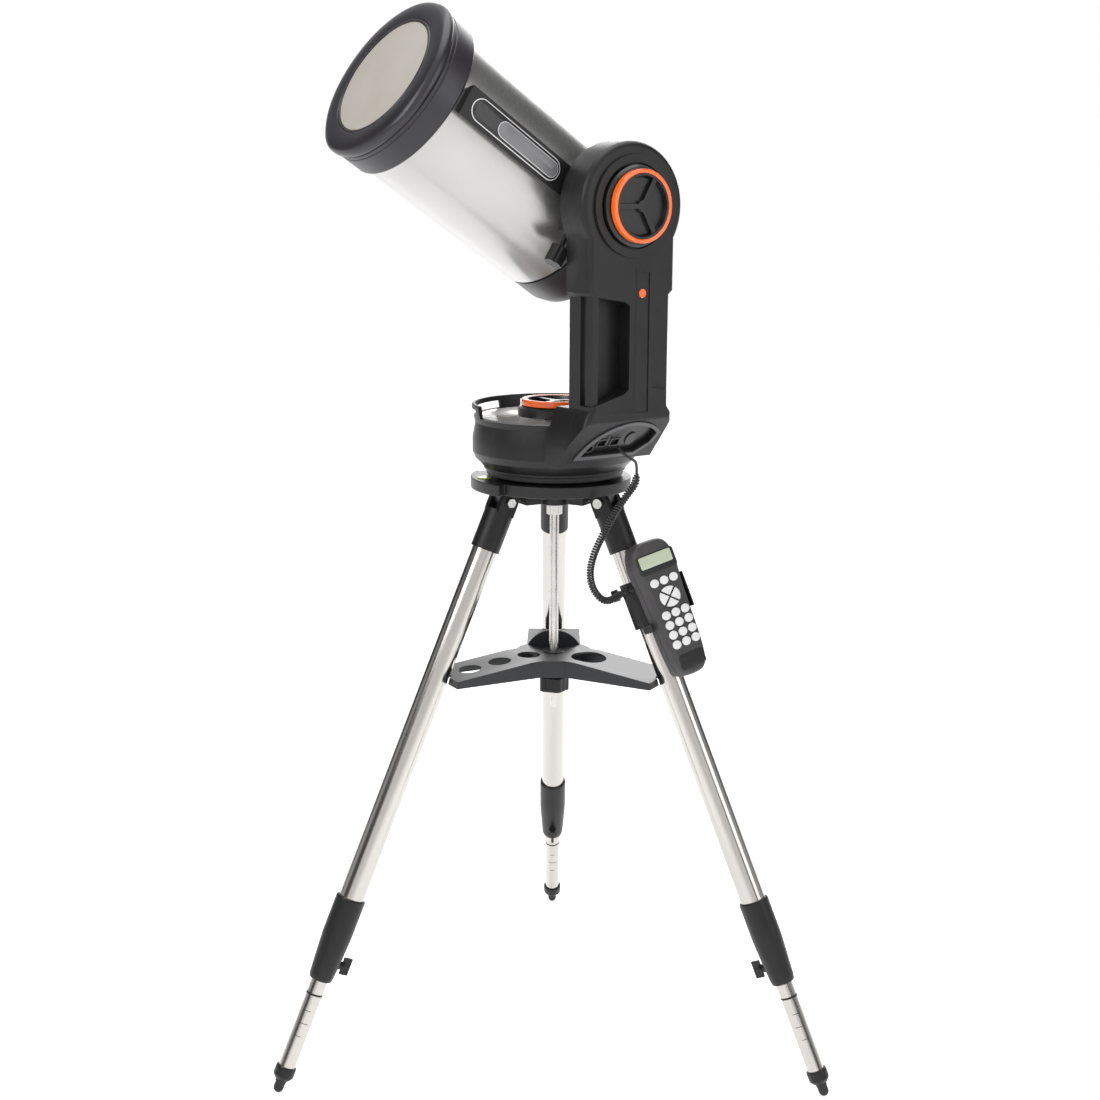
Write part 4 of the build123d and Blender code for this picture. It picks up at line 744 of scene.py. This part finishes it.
def join(name, pieces):
    """One mesh from several pieces."""
    mesh = bmesh.new()
    for piece in pieces:
        mesh.from_mesh(piece.data)
        bpy.data.objects.remove(piece)
    data = bpy.data.meshes.new(name)
    mesh.to_mesh(data)
    mesh.free()
    joined = bpy.data.objects.new(name, data)
    bpy.context.scene.collection.objects.link(joined)
    return joined


def quadrant(name, turn):
    """Quarter of the oval arrow pad: its arc of the oval, closed at a point off centre."""
    spread = math.radians(39)
    t = np.linspace(turn - spread, turn + spread, 14)
    arc = np.stack([PAD_HALF[0] * np.cos(t), PAD_HALF[1] * np.sin(t)], -1)
    apex = np.array([[0.0021 * math.cos(turn), 0.0021 * math.sin(turn)]])
    outline = np.concatenate([apex, arc])
    centre = outline.mean(0)
    rows = []
    for k, x in ((0.0, HC_FACE - 0.004), (1.0, HC_FACE - 0.004), (1.0, HC_FACE + 0.0014),
                 (0.95, HC_FACE + 0.0019),
                 (0.88, HC_FACE + 0.0021), (0.0, HC_FACE + 0.0023)):
        ring = centre + (outline - centre) * k
        rows.append(np.stack([np.full(len(ring), x), HAND_Y + ring[:, 0], PAD_Z + ring[:, 1]], -1))
    return sharpen(add_mesh(name, HAND(np.array(rows).reshape(-1, 3)),
                            grid_faces(len(rows), len(outline), False, True)), 50)


def make_keys():
    top = [pad("k", y, MENU_Z, *MENU_HALF, KEY_FOOT, KEY_TOP) for y in KEY_Y]
    wear(join("menu_keys", top), KEYS, "top_keys", "key_white", "top_keys")
    for k, z in enumerate(ROWS, 1):
        row = [pad("k", y, z, *KEY_HALF, KEY_FOOT, KEY_TOP) for y in KEY_Y]
        wear(join(f"digit_row_{k}", row), KEYS, f"number_keys_{k}", "key_white", f"number_keys_{k}")
    arrows = [quadrant("k", math.radians(35 + 90 * k - 45 + 10)) for k in range(4)]
    wear(join("arrow_pad", arrows), KEYS, "arrow_keys", "key_white", "arrow_keys")
    wells = [pad("w", y, z, *WELL_HALF, WELL_FOOT, WELL_TOP, dome=0, edge=WELL_EDGE)
             for z in [MENU_Z] + ROWS for y in KEY_Y]
    wells.append(pad("w", 0, PAD_Z, *PAD_WELL, WELL_FOOT, WELL_TOP, dome=0, edge=WELL_EDGE, steps=64))
    wear(join("key_wells", wells), BLACK, "handset", "black_plastic")
    frame_piece = pad("display_frame", 0.0, -0.1095, 0.0400, 0.0150, HC_FACE - 0.001, HC_FACE + 0.0006,
                      0.22, 0.0, 0.0005, 80)
    wear(frame_piece, PANEL, "handset", "black_plastic", "hc_display")
    glass = pad("display_window", -0.001, -0.1060, 0.0345, 0.0092, HC_FACE, HC_FACE + 0.0009, 0.12, 0.0,
                0.0003, 80)
    wear(glass, LCD, "handset", "lcd", "hc_display")
    plate = pad("lower_plate", 0.0, -0.2610, 0.0270, 0.0115, HC_FACE - 0.001, HC_FACE + 0.0004, 0.3, 0.0,
                0.0003, 80)
    wear(plate, PANEL, "handset", "black_plastic")
    wear(cad_shell("hc_holder", "cradle", 0.0010), BLACK, "leg_2", "black_plastic", "hc_holder")
    wear(cad_shell("cord_plug", "coil_plug", 0.0006), BLACK, "handset", "black_plastic", "cord_plug")


make_optics()
make_badge()
make_mount()
make_legs()
make_tripod()
make_case()
make_keys()


# ------------------------------------------------------------------ room
def panel_light(name, place, aim, size, power, tint=(1, 1, 1)):
    data = bpy.data.lights.new(name, "AREA")
    data.shape = "RECTANGLE"
    data.size, data.size_y = size
    data.energy = power
    data.color = tint
    lamp = bpy.data.objects.new(name, data)
    bpy.context.scene.collection.objects.link(lamp)
    back = np.array(place, float) - np.array(aim, float)
    back /= np.linalg.norm(back)
    right = np.cross((0, 0, 1), back) if abs(back[2]) < 0.999 else np.array([1.0, 0, 0])
    right /= np.linalg.norm(right)
    rows = np.eye(4)
    rows[:3, 0], rows[:3, 1], rows[:3, 2], rows[:3, 3] = right, np.cross(back, right), back, place
    lamp.matrix_world = Matrix(rows.tolist())


def make_room():
    world = bpy.data.worlds.new("studio")
    bpy.context.scene.world = world
    world.use_nodes = True
    tree = world.node_tree
    background = tree.nodes["Background"]
    background.inputs["Strength"].default_value = 1.0
    where = tree.nodes.new("ShaderNodeTexCoord")
    split = tree.nodes.new("ShaderNodeSeparateXYZ")
    sideways = tree.nodes.new("ShaderNodeMath")
    sideways.operation = "ABSOLUTE"
    ramp = tree.nodes.new("ShaderNodeValToRGB")
    ramp.color_ramp.interpolation = "EASE"
    stops = ramp.color_ramp.elements
    stops[0].position, stops[0].color = 0.45, (1.0, 1.0, 1.0, 1)
    stops[1].position, stops[1].color = 0.66, (0.045, 0.045, 0.048, 1)
    far = stops.new(0.90)
    far.color = (0.07, 0.07, 0.072, 1)
    end = stops.new(0.985)
    end.color = (0.55, 0.55, 0.56, 1)
    tree.links.new(where.outputs["Generated"], split.inputs["Vector"])
    tree.links.new(split.outputs["X"], sideways.inputs[0])
    tree.links.new(sideways.outputs["Value"], ramp.inputs["Fac"])
    tree.links.new(ramp.outputs["Color"], background.inputs["Color"])
    bpy.context.scene.view_settings.view_transform = "Standard"
    floor = add_mesh("floor", [(-14, -14, 0), (14, -14, 0), (14, 14, 0), (-14, 14, 0)], [(0, 1, 2, 3)],
                     False)
    paper = finish("pale_floor", (0.86, 0.86, 0.86), (0.84, 0.84, 0.84), (0.7, 0.8), cloud=1.5, bump=0.0)
    glow = paper.node_tree.nodes["Principled BSDF"].inputs
    glow["Emission Color"].default_value = (1.0, 1.0, 1.0, 1.0)
    glow["Emission Strength"].default_value = 0.55
    floor.data.materials.append(paper)
    panel_light("key_light", (-2.2, -2.0, 2.6), (0, 0, 1.0), (1.6, 1.6), 48)
    panel_light("fill_light", (2.6, -1.6, 1.8), (0, 0, 0.9), (1.4, 2.0), 26)
    panel_light("top_light", (0.2, 0.2, 3.6), (0, 0, 0.8), (2.4, 2.4), 48)
    panel_light("back_light", (0.6, 2.6, 2.2), (0, 0, 1.0), (2.0, 1.6), 40)


make_room()
